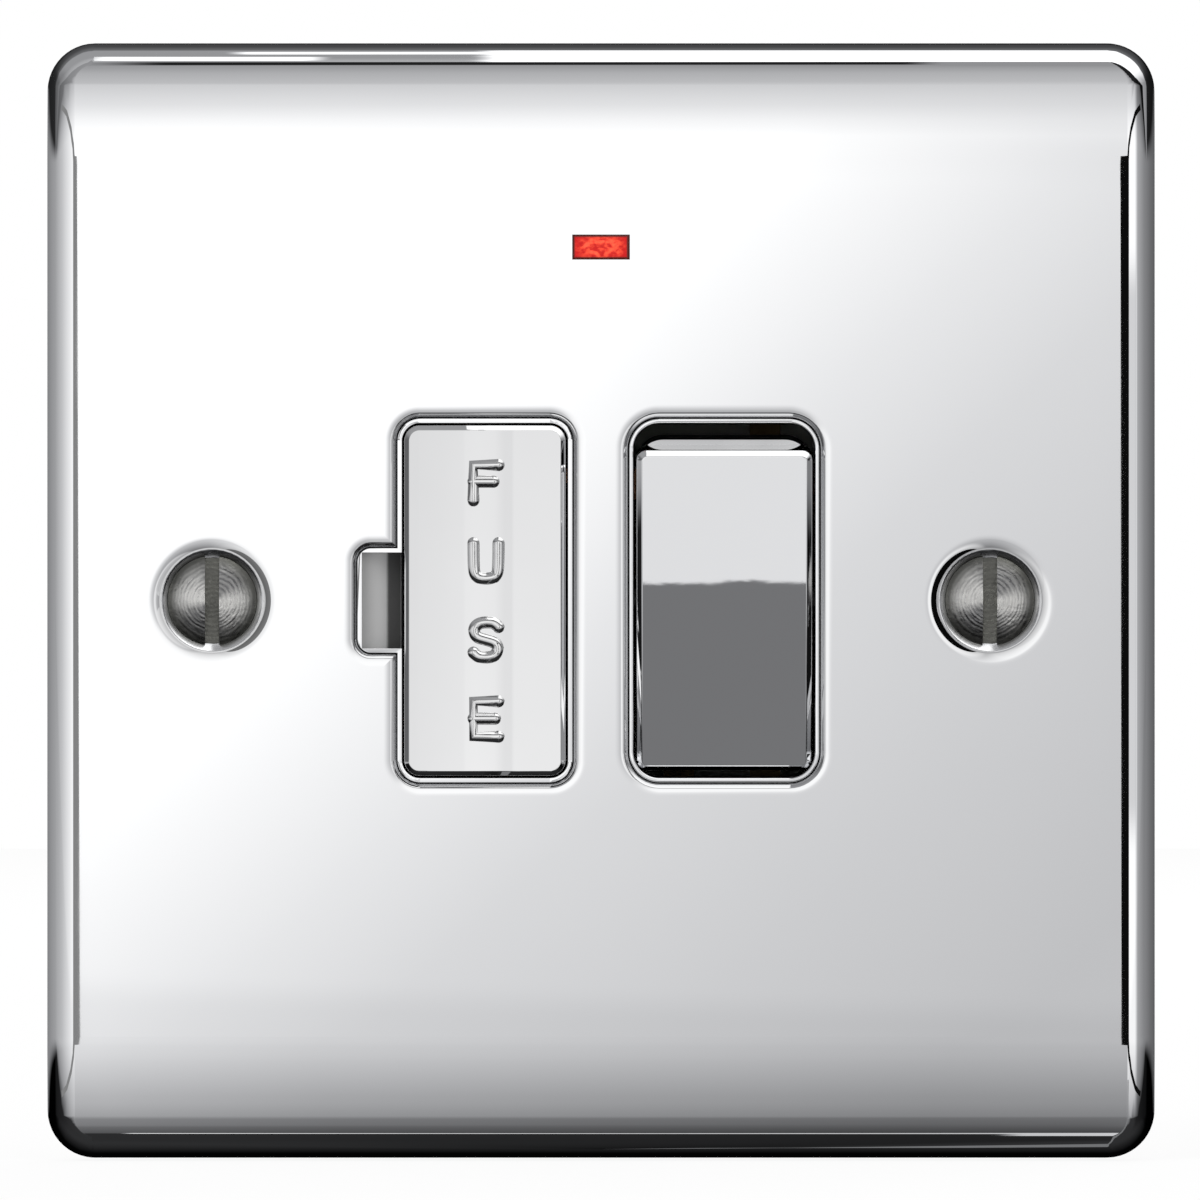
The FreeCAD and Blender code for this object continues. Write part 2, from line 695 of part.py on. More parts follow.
def make_fuse_bezel():
    """Bright ring round the drawer, with the notch's sloping floor."""
    body = new_body("fuse_bezel")
    slab(body, "fuse_ring", fuse_outline(S.seat_gap), bezel_back, bezel_front)
    round_opening_corners(body, "ring", bezel_back, bezel_front, S.seat_gap)
    corner = S.fuse_open_corner - S.seat_gap - S.bezel_wall
    inner, arcs = round_rectangle(fuse_inner_width / 2, fuse_inner_height / 2, corner, fuse_x)
    window(body, "drawer_way", inner, bezel_back, bezel_front, arcs)
    left = fuse_x - fuse_open_width / 2 - S.notch_reach + S.seat_gap + S.bezel_wall
    right = fuse_x - fuse_inner_width / 2 + S.bezel_wall
    ramp = [
        (left, -bezel_front),
        (right, -bezel_front),
        (right, -S.plate_depth + S.notch_deep),
        (left, -S.plate_depth + S.notch_shallow),
    ]
    sketch = outline(body, "notch_ramp", "XY_Plane", ramp)
    height = S.notch_height - (S.bezel_wall + S.seat_gap) * 2
    pocket(body, sketch, height, both_ways=True)


def make_rocker_bezel():
    """Bright ring round the rocker."""
    body = new_body("rocker_bezel")
    slab(body, "rocker_ring", rocker_outline(S.seat_gap), bezel_back, bezel_front)
    upright = upright_corner(bezel_back, bezel_front)
    round_edges(body, "ring_corners", S.rocker_open_corner - S.seat_gap, upright)
    corner = S.rocker_open_corner - S.seat_gap - S.bezel_wall
    inner, arcs = round_rectangle(well_inner_width / 2, well_inner_height / 2, corner, rocker_x)
    window(body, "rocker_way", inner, bezel_back, bezel_front, arcs)


# Moulded pieces


def make_front_moulding():
    """Insulating moulding: flange, raised middle, drawer sleeve, rocker well and pillars."""
    body = new_body("front_moulding")
    inset = S.plate_wall + S.moulding_fit
    half_x = S.plate_width / 2 - inset
    half_z = S.plate_height / 2 - inset
    corners, arcs = round_rectangle(half_x, half_z, S.plate_corner - inset)
    slab(body, "flange", corners, 0, S.flange_thick, arcs)
    middle_x = (-platform_half_width, platform_half_width)
    middle_z = (-platform_bottom, platform_top)
    slab(body, "platform", span(middle_x, middle_z), S.flange_thick, platform_front)
    sleeve = rectangle(fuse_inner_width / 2 + S.sleeve_wall, fuse_inner_height / 2 + S.sleeve_wall, fuse_x)
    slab(body, "drawer_sleeve", sleeve, -sleeve_length, 0)
    well = rectangle(well_inner_width / 2 + S.sleeve_wall, well_inner_height / 2 + S.sleeve_wall, rocker_x)
    slab(body, "rocker_well", well, -S.well_length, 0)
    for number, (x, z) in enumerate(boss_places()):
        slab(body, f"pillar_{number}", rectangle(S.boss_radius, S.boss_radius, x, z), -S.boss_split, 0)
    for number, sign in enumerate((-1, 1)):
        half_height = S.lamp_radius + S.cheek_beyond
        cheek = rectangle(S.cheek_wall / 2, half_height, S.cheek_place * sign, lamp_z)
        slab(body, f"lamp_cradle_{number}", cheek, S.lamp_depth, 0)

    rim = bezel_back - S.seat_gap
    window(body, "fuse_rebate", fuse_outline(-S.seat_gap), rim, platform_front)
    inner = rectangle(fuse_inner_width / 2, fuse_inner_height / 2, fuse_x)
    window(body, "drawer_bore", inner, -sleeve_length, platform_front)
    window(body, "rocker_rebate", rocker_outline(-S.seat_gap), rim, platform_front)
    inner = rectangle(well_inner_width / 2, well_inner_height / 2, rocker_x)
    window(body, "rocker_bore", inner, -S.well_length, platform_front)
    play = S.seat_gap * 2
    light = rectangle(S.neon_width / 2 + play, S.neon_height / 2 + play, v=neon_z)
    window(body, "light_way", light, 0, platform_front)
    play = S.neon_flange + play
    seat = rectangle(S.neon_width / 2 + play, S.neon_height / 2 + play, v=neon_z)
    window(body, "lens_seat", seat, platform_front - S.neon_flange_thick - S.seat_gap, platform_front)
    cut = "PartDesign::SubtractiveCylinder"
    for side_name, x in screw_sides():
        hole = {"Radius": S.screw_radius + S.screw_way_room, "Height": S.flange_thick}
        drill(body, f"screw_way_{side_name}", cut, hole, (x, 0, 0), FORWARD)
    for number, (x, z) in enumerate(boss_places()):
        length = S.boss_split - S.flange_thick
        small_hole(body, f"pilot_{number}", S.joint_screw_radius, length, (x, S.boss_split, z))
    for side in (-1, 1):
        for level in (-1, 1):
            wall = fuse_x + (fuse_inner_width / 2 + S.sleeve_wall / 2) * side
            slot = rectangle(S.sleeve_wall / 2, S.barb_height / 2 + S.slide_gap, wall, barb_z * level)
            front = S.drawer_travel - S.tray_length + barb_depth + S.slide_gap
            name = f"stop_slot_{'left' if side < 0 else 'right'}_{'lower' if level < 0 else 'upper'}"
            window(body, name, slot, -sleeve_length, front)
    bearing = {"Radius": S.pivot_radius + S.pivot_gap, "Height": well_inner_width + S.sleeve_wall * 2}
    start = rocker_x - well_inner_width / 2 - S.sleeve_wall
    drill(body, "rocker_bearings", cut, bearing, (start, -pivot_depth, 0), RIGHTWARD)
    tab = rectangle(S.earth_strip / 2 + S.slide_gap, S.earth_tab_height / 2 + S.slide_gap, 0, S.earth_tab_z)
    window(body, "earth_tab_way", tab, 0, platform_front)
    seat = rectangle(S.lamp_length / 2, S.lamp_radius + S.seat_gap, v=lamp_z)
    window(body, "lamp_seat", seat, S.lamp_depth - S.lamp_radius, S.lamp_depth + S.lamp_radius + S.seat_gap)


def boss_places():
    """Centres of the two screws that hold the housing to the moulding, across a diagonal."""
    return [(-boss_x, S.boss_z), (boss_x, -S.boss_z)]


def terminal_places():
    """Name, side of the centre and row of each wire terminal."""
    for row_name, row_sign in (("supply", -1), ("load", 1)):
        for pole, column in (("live", -1), ("earth", 0), ("neutral", 1)):
            yield f"{row_name}_{pole}", S.terminal_x * column, row_sign


def make_rear_housing():
    """Deep moulded cover behind the plate, with wire entries and screw ways."""
    body = new_body("rear_housing")
    outer, arcs = round_rectangle(housing_half_width, housing_half_height, S.housing_corner)
    slab(body, "shell", outer, -housing_depth, 0, arcs)
    inner = rectangle(housing_half_width - S.housing_wall, housing_half_height - S.housing_wall)
    window(body, "hollow", inner, floor_depth, 0)
    for number, (x, z) in enumerate(boss_places()):
        post = rectangle(S.boss_radius, S.boss_radius, x, z)
        slab(body, f"boss_{number}", post, floor_depth, -S.boss_split - S.seat_gap)
    foot, head = rib_foot, housing_half_height - S.housing_wall
    for side in (-1, 1):
        for level in (-1, 1):
            rib = rectangle(S.rib_wall / 2, (head - foot) / 2, rib_x * side, (head + foot) / 2 * level)
            name = f"rib_{'left' if side < 0 else 'right'}_{'lower' if level < 0 else 'upper'}"
            slab(body, name, rib, floor_depth, floor_depth + S.rib_tall)
    depth = housing_depth
    for number, (x, z) in enumerate(boss_places()):
        way, sink = S.joint_screw_radius + S.screw_clear, S.joint_screw_head + S.screw_clear
        small_hole(body, f"joint_way_{number}", way, depth - S.boss_split, (x, depth, z))
        small_hole(body, f"joint_sink_{number}", sink, S.joint_screw_head_tall, (x, depth, z))
    for name, x, level in terminal_places():
        half = S.wire_radius + S.entry_gap
        entry = rectangle(half, S.housing_wall * 2, x, housing_half_height * level)
        window(body, f"{name}_entry", entry, wire_axis_depth - half, wire_axis_depth + half)
        half = S.clamp_radius + S.screw_clear
        window(body, f"{name}_access", rectangle(half, half, x, terminal_z * level), -depth, floor_depth)

    def back_rim(edge):
        centre = edge.CenterOfMass
        at_side = abs(centre.x) > housing_half_width.value - 1
        at_end = abs(centre.z) > housing_half_height.value - 1
        return (at_side or at_end) and lies_at_depth(edge, -depth)

    bevel_edges(body, "back_bevel", S.housing_bevel, back_rim)


# Fasteners


def make_fixing_screw(side_name, x):
    """Slotted raised-head screw that holds the unit to its box, its head drawn with few sides."""
    body = new_body(f"fixing_screw_{side_name}")
    edge = S.plate_depth - (dish_radius - S.screw_head) + S.seat_gap
    taper = S.screw_head - S.screw_radius
    under = taper - edge
    top = edge + S.screw_rise
    head = {"Circumradius": S.screw_head, "Height": taper + S.screw_rise}
    blank = drill(body, f"head_{side_name}", "PartDesign::AdditivePrism", head, (0, under, 0), FORWARD)
    blank.Polygon = SIDES
    bevel_edges(body, f"head_seat_{side_name}", taper - S.seat_gap, head_rim(-under))
    bevel_edges(body, f"head_top_{side_name}", S.screw_rise - S.seat_gap, head_rim(top))
    shank = {"Radius": S.screw_radius, "Height": S.screw_length - taper}
    tip = (0, S.screw_length - edge, 0)
    drill(body, f"shank_{side_name}", "PartDesign::AdditiveCylinder", shank, tip, FORWARD)
    slot = rectangle(S.screw_slot / 2, S.screw_head * 2)
    window(body, f"driver_slot_{side_name}", slot, top - S.screw_slot_depth, top)
    bind(body, "Placement.Base.x", x)


def head_rim(depth):
    """A test for the straight edges at one end of a screw's head."""
    def wanted(edge):
        return lies_at_depth(edge, depth) and isinstance(edge.Curve, Part.Line)
    return wanted


def make_housing_screws():
    """The screws from behind that hold the housing, separate solids in one group."""
    screws = []
    for number, (x, z) in enumerate(boss_places()):
        under_head = housing_depth - S.joint_screw_head_tall
        place = (x, under_head, z)
        shank = small_rod(f"joint_shank_{number}", S.joint_screw_radius, S.joint_screw_length, place, FORWARD)
        tall = S.joint_screw_head_tall
        head = small_rod(f"joint_head_{number}", S.joint_screw_head, tall, (x, housing_depth, z), FORWARD)
        half = S.clamp_slot / 2
        reach = S.joint_screw_head
        slot_x, slot_z = (x - half, x + half), (z - reach, z + reach)
        slot = block(f"joint_slot_{number}", slot_x, slot_z, -housing_depth, tall / 2 - housing_depth)
        blank = fused(f"joint_blank_{number}", [shank, head])
        screws.append(cut_away(f"joint_screw_{number}", blank, [slot]))
    group = document.addObject("Part::Compound", "housing_screws")
    group.Links = screws
    group.Label = "housing_screws"


# Fuse drawer

cap_side = S.plate_depth + S.cap_proud
cap_back = cap_side - S.cap_skirt
barb_depth = S.tray_cheek


def make_fuse_cap():
    """Bright drawer front, gently crowned from side to side."""
    body = new_body("fuse_cap")
    half = cap_width / 2
    bulge = (half * half + S.cap_rise * S.cap_rise) / (S.cap_rise * 2)
    profile = [
        (fuse_x - half, -cap_side),
        (fuse_x + half, -cap_side),
        (fuse_x + half, -cap_back),
        (fuse_x - half, -cap_back),
    ]
    pad(body, outline(body, "cap_profile", "XY_Plane", profile, arcs={0: bulge}), cap_height, both_ways=True)
    round_edges(body, "cap_corners", S.cap_corner, lambda e: runs_along(e, Vector(0, 1, 0)))

    def on_front(edge):
        return edge.CenterOfMass.y < -cap_side.value + 0.05 and not runs_along(edge, Vector(0, 1, 0))

    bevel_edges(body, "cap_edge", S.cap_edge, on_front)
    inside = rectangle(half - S.cap_wall, cap_height / 2 - S.cap_wall, fuse_x)
    window(body, "cap_hollow", inside, cap_back, cap_side - S.cap_wall)


def make_fuse_tray():
    """Insulating drawer: front wall, two cheeks, a cradle for the fuse and four stop barbs."""
    body = new_body("fuse_tray")
    half = fuse_inner_width / 2 - S.slide_gap
    half_height = fuse_inner_height / 2 - S.slide_gap
    left, right = fuse_x - half, fuse_x + half
    rear = -S.tray_length
    front = cap_back - S.tray_front
    cheek = S.tray_cheek
    slab(body, "tray_blank", rectangle(half, half_height, fuse_x), rear, cap_back)
    round_edges(body, "tray_corners", S.fuse_open_corner - S.bezel_wall, upright_corner(rear, cap_back))
    plug = S.cap_wall + S.seat_gap
    inside = rectangle(cap_width / 2 - plug, cap_height / 2 - plug, fuse_x)
    slab(body, "tray_plug", inside, cap_back, cap_side - plug)
    between = (left + cheek, right - cheek)
    window(body, "clip_room_upper", span(between, (tray_web, half_height)), rear, front)
    window(body, "clip_room_lower", span(between, (-half_height, -tray_web)), rear, front)
    beside = span((fuse_x, right - cheek), (-tray_web, tray_web))
    behind_fuse = S.fuse_depth - S.fuse_radius - cheek
    window(body, "cradle_side", beside, behind_fuse, front)
    room = S.fuse_radius + S.seat_gap
    way_z = (-S.fuse_length / 2 - S.slide_gap, S.fuse_length / 2 + S.slide_gap)
    window(body, "fuse_way", span((fuse_x, right), way_z), S.fuse_depth - room, S.fuse_depth + room)
    rear_room = span((left + cheek, right - cheek), (-tray_web, tray_web))
    window(body, "rear_room", rear_room, rear + cheek, behind_fuse - cheek)
    for side in (-1, 1):
        for level in (-1, 1):
            middle = fuse_x + (half + S.barb_reach / 2) * side
            barb = rectangle(S.barb_reach / 2, S.barb_height / 2, middle, barb_z * level)
            name = f"stop_barb_{'left' if side < 0 else 'right'}_{'lower' if level < 0 else 'upper'}"
            slab(body, name, barb, rear, rear + barb_depth)
    seat = {"Radius": S.barrel_radius + S.seat_gap, "Height": tray_web * 2}
    place = (fuse_x, -S.fuse_depth, -tray_web)
    drill(body, "barrel_seat", "PartDesign::SubtractiveCylinder", seat, place)


def make_fuse():
    """Cartridge fuse: ceramic barrel between two metal end caps."""
    half = S.fuse_length / 2
    barrel_half = half - S.fuse_end_length
    place = (fuse_x, -S.fuse_depth, -barrel_half)
    rod("fuse_barrel", S.barrel_radius, barrel_half * 2, place)
    for end_name, start in (("lower", -half), ("upper", barrel_half)):
        rod(f"fuse_end_{end_name}", S.fuse_radius, S.fuse_end_length, (fuse_x, -S.fuse_depth, start))


def make_fuse_clip(end_name, sign):
    """Sprung jaws round one end cap; the base runs on as the current strip."""
    body = new_body(f"fuse_clip_{end_name}")
    inner = S.fuse_radius + S.clip_gap
    outer = inner + S.clip_thick
    flare = S.clip_flare
    tip = -S.fuse_depth - S.clip_reach
    base = -floor_depth
    corners = [
        (-outer - flare, tip - flare),
        (-inner - flare, tip - flare),
        (-inner, tip),
        (-inner, base - S.clip_thick),
        (inner, base - S.clip_thick),
        (inner, tip),
        (inner + flare, tip - flare),
        (outer + flare, tip - flare),
        (outer, tip),
        (outer, base),
        (-outer, base),
        (-outer, tip),
    ]
    corners = [(fuse_x + u, v) for u, v in corners]
    low = clip_z * sign - S.clip_height / 2
    pad(body, outline(body, f"jaws_{end_name}", "XY_Plane", corners, low), S.clip_height)
    top = floor_depth + S.clip_thick
    half = S.strip_half_width
    if sign > 0:
        reach = (fuse_x + outer - S.clip_thick, rocker_x - S.pole_offset - S.arm_width / 2)
        rise = (S.stud_place, S.stud_place + half * 2)
        slab(body, "link_to_contact", span(reach, rise), floor_depth, top)
    else:
        level = clip_z * sign
        reach = (clip_strip_x - half, fuse_x - outer + S.clip_thick)
        slab(body, "link_across", span(reach, (level - half, level + half)), floor_depth, top)
        rise = (level - half, terminal_z - S.terminal_half)
        across = (clip_strip_x - half, clip_strip_x + half)
        slab(body, "link_to_terminal", span(across, rise), floor_depth, top)


# Rocker


def make_rocker_cap():
    """Bright rocker front with a gentle crown; the foot is pressed in, as when switched on."""
    body = new_body("rocker_cap")
    middle = S.plate_depth + S.rocker_proud
    ends = middle - S.rocker_rise
    back = ends - S.rocker_side
    half = rocker_half_height
    bulge = (half * half + S.rocker_rise * S.rocker_rise) / (S.rocker_rise * 2)
    profile = [(-back, -half), (-back, half), (-ends, half), (-ends, -half)]
    sketch = outline(body, "rocker_profile", "YZ_Plane", profile, rocker_x, {2: bulge})
    pad(body, sketch, rocker_width, both_ways=True)
    round_edges(body, "rocker_corners", S.rocker_corner, lambda e: runs_along(e, Vector(0, 1, 0)))

    def on_front(edge):
        return edge.CenterOfMass.y < -ends.value + 0.05 and not runs_along(edge, Vector(0, 1, 0))

    bevel_edges(body, "rocker_edge", S.rocker_edge, on_front)
    inside = rectangle(rocker_width / 2 - S.cap_wall, half - S.cap_wall, rocker_x)
    window(body, "rocker_hollow", inside, back, ends - S.cap_wall)
    tilt(body, pivot_depth, S.rocker_throw)


def make_rocker_body():
    """Moulded rocker with its skirt, trunnions and two plunger guides."""
    body = new_body("rocker_body")
    ends = S.plate_depth + S.rocker_proud - S.rocker_rise
    skirt_front = ends - S.rocker_side
    skirt_back = skirt_front - S.skirt_length
    half_width, half_height = rocker_width / 2, rocker_half_height
    skirt = rectangle(half_width, half_height + S.skirt_step, rocker_x)
    slab(body, "rocker_skirt", skirt, skirt_back, skirt_front)
    corner = S.rocker_open_corner - S.bezel_wall
    round_edges(body, "skirt_corners", corner, upright_corner(skirt_back, skirt_front))
    inset = S.cap_wall + S.seat_gap
    plug = rectangle(half_width - inset, half_height - inset, rocker_x)
    slab(body, "rocker_plug", plug, skirt_front, ends - inset)
    reach = well_inner_width / 2 + S.sleeve_wall - S.seat_gap * 2
    pin = {"Radius": S.pivot_radius, "Height": reach * 2}
    place = (rocker_x - reach, -pivot_depth, 0)
    drill(body, "trunnions", "PartDesign::AdditiveCylinder", pin, place, RIGHTWARD)
    bore = S.plunger_radius + S.guide_gap
    guide_end = S.guide_length - pivot_depth
    seat_drop = nose_drop - S.plunger_length - S.spring_length
    for pole, offset in POLES.items():
        tube = rectangle(bore + S.guide_wall, bore + S.guide_wall, rocker_x + offset)
        slab(body, f"guide_{pole}", tube, -guide_end, S.guide_wall - seat_drop + pivot_depth)
    for pole, offset in POLES.items():
        way = rectangle(bore, bore, rocker_x + offset)
        window(body, f"guide_bore_{pole}", way, -guide_end, pivot_depth - seat_drop)
    tilt(body, pivot_depth, S.rocker_throw)


def make_plunger(pole, offset):
    """Plunger with a narrow nose that slides over the contact arm."""
    x = rocker_x + offset
    shoulder = nose_drop - pivot_depth
    stem = small_rod(f"stem_{pole}", S.plunger_radius, S.plunger_length, (x, shoulder, 0), FORWARD)
    place = (x, shoulder + S.plunger_nose, 0)
    nose = small_rod(f"nose_{pole}", S.plunger_tip, S.plunger_nose, place, FORWARD)
    plunger = fused(f"plunger_{pole}", [stem, nose])
    tilt(plunger, pivot_depth, S.rocker_throw)


def make_plunger_spring(pole, offset):
    """Coil spring behind the plunger, drawn with six straight lengths to a turn."""
    radius = S.plunger_radius.value - S.spring_wire.value / 2
    wire = S.spring_wire.value / 2
    length = S.spring_length.value - S.spring_wire.value
    turns, steps = 4, 6
    start = nose_drop.value - S.plunger_length.value - S.spring_length.value - pivot_depth.value + wire
    centre_x = rocker_x.value + offset.value
    points = []
    for step in range(turns * steps + 1):
        angle = 2 * math.pi * step / steps
        rise = start + length * step / (turns * steps)
        points.append(Vector(centre_x + radius * math.cos(angle), rise, radius * math.sin(angle)))
    spine = Part.makePolygon(points)
    way = points[1] - points[0]
    across = Vector(1, 0, 0)
    other = way.cross(across).normalize()
    section = [points[0] + side * wire for side in (across, other, -across, -other)]
    profile = Part.makePolygon(section + section[:1])
    spring = document.addObject("Part::Feature", f"plunger_spring_{pole}")
    spring.Shape = Part.Wire(spine).makePipeShell([profile], True, False, 1)
    spring.Label = f"plunger_spring_{pole}"
    tilt(spring, pivot_depth, S.rocker_throw)


# Contacts


def make_contact_arm(pole, offset):
    """Rocking contact arm with a silver stud under its upper end."""
    body = new_body(f"contact_arm_{pole}")
    x = rocker_x + offset
    arm = rectangle(S.arm_width / 2, S.arm_half, x)
    slab(body, f"arm_strip_{pole}", arm, arm_depth, arm_depth + S.arm_thick)
    stud = {"Circumradius": S.stud_radius, "Height": S.stud_height}
    place = (x, S.stud_height - arm_depth, S.stud_place)
    disc = drill(body, f"arm_stud_{pole}", "PartDesign::AdditivePrism", stud, place, FORWARD)
    disc.Polygon = SIDES
    tilt(body, arm_depth, -S.arm_throw)


def make_contact_saddle(pole, offset):
    """Knife-edge post that the arm rocks on, with its strip to the supply terminal."""
    body = new_body(f"contact_saddle_{pole}")
    x = rocker_x + offset
    base = -floor_depth
    foot = S.saddle_foot
    shoulder = foot / 2
    profile = [
        (base, -foot),
        (base, foot),
        (base - S.strip, foot),
        (base - S.strip, shoulder),
        (S.seat_gap - arm_depth, 0),
        (base - S.strip, -shoulder),
        (base - S.strip, -foot),
    ]
    sketch = outline(body, f"saddle_profile_{pole}", "YZ_Plane", profile, x - S.arm_width / 2)
    pad(body, sketch, S.arm_width)
    half = S.strip_half_width
    top = floor_depth + S.strip
    end = S.terminal_half - terminal_z
    if pole == "live":
        slab(body, "supply_run", span((x - half, x + half), (strip_row - half, -foot)), floor_depth, top)
        across = (half - S.terminal_x, x - half)
        slab(body, "supply_across", span(across, (strip_row - half, strip_row + half)), floor_depth, top)
        down = (-S.terminal_x - half, half - S.terminal_x)
        slab(body, "supply_end", span(down, (end, strip_row + half)), floor_depth, top)
    else:
        slab(body, "neutral_run", span((x - half, x + half), (end, -foot)), floor_depth, top)


def make_fixed_contact(pole, offset):
    """Fixed contact that the arm's stud closes on, slanted to meet it flat."""
    body = new_body(f"fixed_contact_{pole}")
    x = rocker_x + offset
    off = S.stud_height + S.contact_gap
    lean, level = sine(S.arm_throw), cosine(S.arm_throw)

    def face_point(along):
        return (along * lean + off * level - arm_depth, along * level - off * lean)

    near = face_point(S.stud_place - S.stud_radius)
    far = face_point(S.stud_place + S.stud_radius)
    profile = [(-floor_depth, near[1]), (-floor_depth, far[1]), far, near]
    sketch = outline(body, f"contact_profile_{pole}", "YZ_Plane", profile, x - S.arm_width / 2)
    pad(body, sketch, S.arm_width)
    if pole == "neutral":
        half = S.strip_half_width
        rise = (far[1], terminal_z - S.terminal_half)
        slab(body, "load_run", span((x - half, x + half), rise), floor_depth, floor_depth + S.strip)


# Terminals, indicator and earth


def make_terminal(name, x, level):
    """Brass block with a blind wire bore along its height and a clamp screw from behind."""
    half = S.terminal_width / 2
    middle = terminal_z * level
    tall = (middle - S.terminal_half, middle + S.terminal_half)
    blank = block(f"{name}_blank", (x - half, x + half), tall, floor_depth, floor_depth + S.terminal_tall)
    mouth = middle + S.terminal_half * level
    start = mouth if level < 0 else mouth - wire_bore_length
    wire = rod(f"{name}_wire_bore", S.wire_radius, wire_bore_length, (x, -wire_axis_depth, start))
    place = (x, -floor_depth, middle)
    thread = small_rod(f"{name}_thread", S.clamp_radius, S.terminal_tall / 2, place, FORWARD)
    cut_away(f"{name}_terminal", blank, [wire, thread])
    tip = wire_axis_depth - S.wire_radius - S.clamp_back_off
    tail = -tip + S.clamp_length
    radius = S.clamp_radius - S.seat_gap
    shank = small_rod(f"{name}_shank", radius, S.clamp_length, (x, tail, middle), FORWARD)
    slot = S.clamp_slot / 2
    deep = S.clamp_length / 3
    slot_z = (middle - S.clamp_radius, middle + S.clamp_radius)
    groove = block(f"{name}_slot", (x - slot, x + slot), slot_z, -tail, deep - tail)
    cut_away(f"{name}_screw", shank, [groove])


def make_neon():
    """Lens in the plate, lamp behind it, resistor and two leads to the load terminals."""
    body = new_body("neon_lens")
    window_half = (S.neon_width / 2, S.neon_height / 2)
    back = platform_front - S.neon_flange_thick
    flange = rectangle(window_half[0] + S.neon_flange, window_half[1] + S.neon_flange, v=neon_z)
    slab(body, "lens_flange", flange, back, platform_front)
    face = rectangle(*window_half, v=neon_z)
    slab(body, "lens_window", face, platform_front, S.plate_depth + S.neon_proud)
    lip = S.plate_depth + S.neon_proud
    round_edges(body, "lens_round", S.neon_proud, lambda e: lies_at_depth(e, lip))

    half = S.lamp_length / 2
    lamp = rod("neon_lamp", S.lamp_radius, S.lamp_length, (-half, -S.lamp_depth, lamp_z), RIGHTWARD)
    lamp.Label = "neon_lamp"

    start = resistor_x - S.resistor_length / 2
    place = (start, -S.lamp_depth, lamp_z)
    sleeve = rod("resistor_body", S.resistor_radius, S.resistor_length, place, RIGHTWARD)
    tail_start = resistor_x + S.resistor_length / 2
    across, rise = (tail_start, -half), (lamp_z - S.lead_radius, lamp_z + S.lead_radius)
    tail = block("resistor_tail", across, rise, S.lamp_depth - S.lead_radius, S.lamp_depth + S.lead_radius)
    fused("neon_resistor", [sleeve, tail])
    make_lead("neon_lead_live", start, -S.terminal_x)
    make_lead("neon_lead_neutral", half, S.terminal_x)


def make_lead(node, start_x, end_x):
    """Stiff square-cornered wire from the lamp's side, then back to a terminal's front."""
    toward = 1 if end_x.value > start_x.value else -1
    start_y = -S.lamp_depth
    end_y = -floor_depth - S.terminal_tall
    body = new_body(node)
    radius = S.lead_radius
    near = end_x - radius * toward
    far = end_x + radius * toward
    corners = [
        (start_x, start_y - radius),
        (far, start_y - radius),
        (far, end_y),
        (near, end_y),
        (near, start_y + radius),
        (start_x, start_y + radius),
    ]
    if toward < 0:
        corners.reverse()
    sketch = outline(body, f"{node}_path", "XY_Plane", corners, lamp_z - radius)
    pad(body, sketch, radius * 2)


def make_earth_strap():
    """Upright strip that joins both earth terminals, with a tab to the plate's back."""
    body = new_body("earth_strap")
    ends = terminal_z - S.terminal_half
    back = floor_depth + S.terminal_tall - S.earth_reach
    front = floor_depth + S.terminal_tall
    slab(body, "earth_strip", rectangle(S.earth_strip / 2, ends), back, front)
    tab = rectangle(S.earth_strip / 2, S.earth_tab_height / 2, 0, S.earth_tab_z)
    slab(body, "earth_tab", tab, front, plate_back)


# The whole unit

make_front_plate()
make_fuse_bezel()
make_rocker_bezel()
make_front_moulding()
make_rear_housing()
for side_name, side_x in screw_sides():
    make_fixing_screw(side_name, side_x)
make_housing_screws()
make_fuse_cap()
make_fuse_tray()
make_fuse()
make_fuse_clip("upper", 1)
make_fuse_clip("lower", -1)
make_rocker_cap()
make_rocker_body()
for pole, pole_offset in POLES.items():
    make_plunger(pole, pole_offset)
    make_plunger_spring(pole, pole_offset)
    make_contact_arm(pole, pole_offset)
    make_contact_saddle(pole, pole_offset)
    make_fixed_contact(pole, pole_offset)
for terminal, terminal_x, terminal_row in terminal_places():
    make_terminal(terminal, terminal_x, terminal_row)
make_neon()
make_earth_strap()
document.recompute()

# Every object is checked before any piece is written

for item in document.Objects:
    if "Invalid" in item.State or "Error" in item.State:
        raise RuntimeError(f"{item.Name} failed: {item.getStatusString()}")

# A piece is what no other object is built from

used = set()
for item in document.Objects:
    parts = item.Group if item.isDerivedFrom("PartDesign::Body") else item.OutList
    used.update(part.Name for part in parts)
pieces = [item for item in document.Objects if item.isDerivedFrom("Part::Feature") and item.Name not in used]
os.makedirs("parts", exist_ok=True)
for piece in pieces:
    if piece.Shape.isNull() or not piece.Shape.isValid():
        raise RuntimeError(f"{piece.Label} has no valid shape")
    piece.Shape.exportStep(os.path.join("parts", piece.Label + ".step"))
    print(piece.Label, len(piece.Shape.Solids), round(piece.Shape.Volume, 2))
print(len(pieces), "pieces")
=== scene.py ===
"""Looks of the fused spur unit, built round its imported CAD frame. Metres, front along -Y, Z up."""

import logging
import math
from dataclasses import dataclass
from enum import Enum
from typing import Optional, Sequence

import bmesh
import bpy
from mathutils import Matrix, Vector


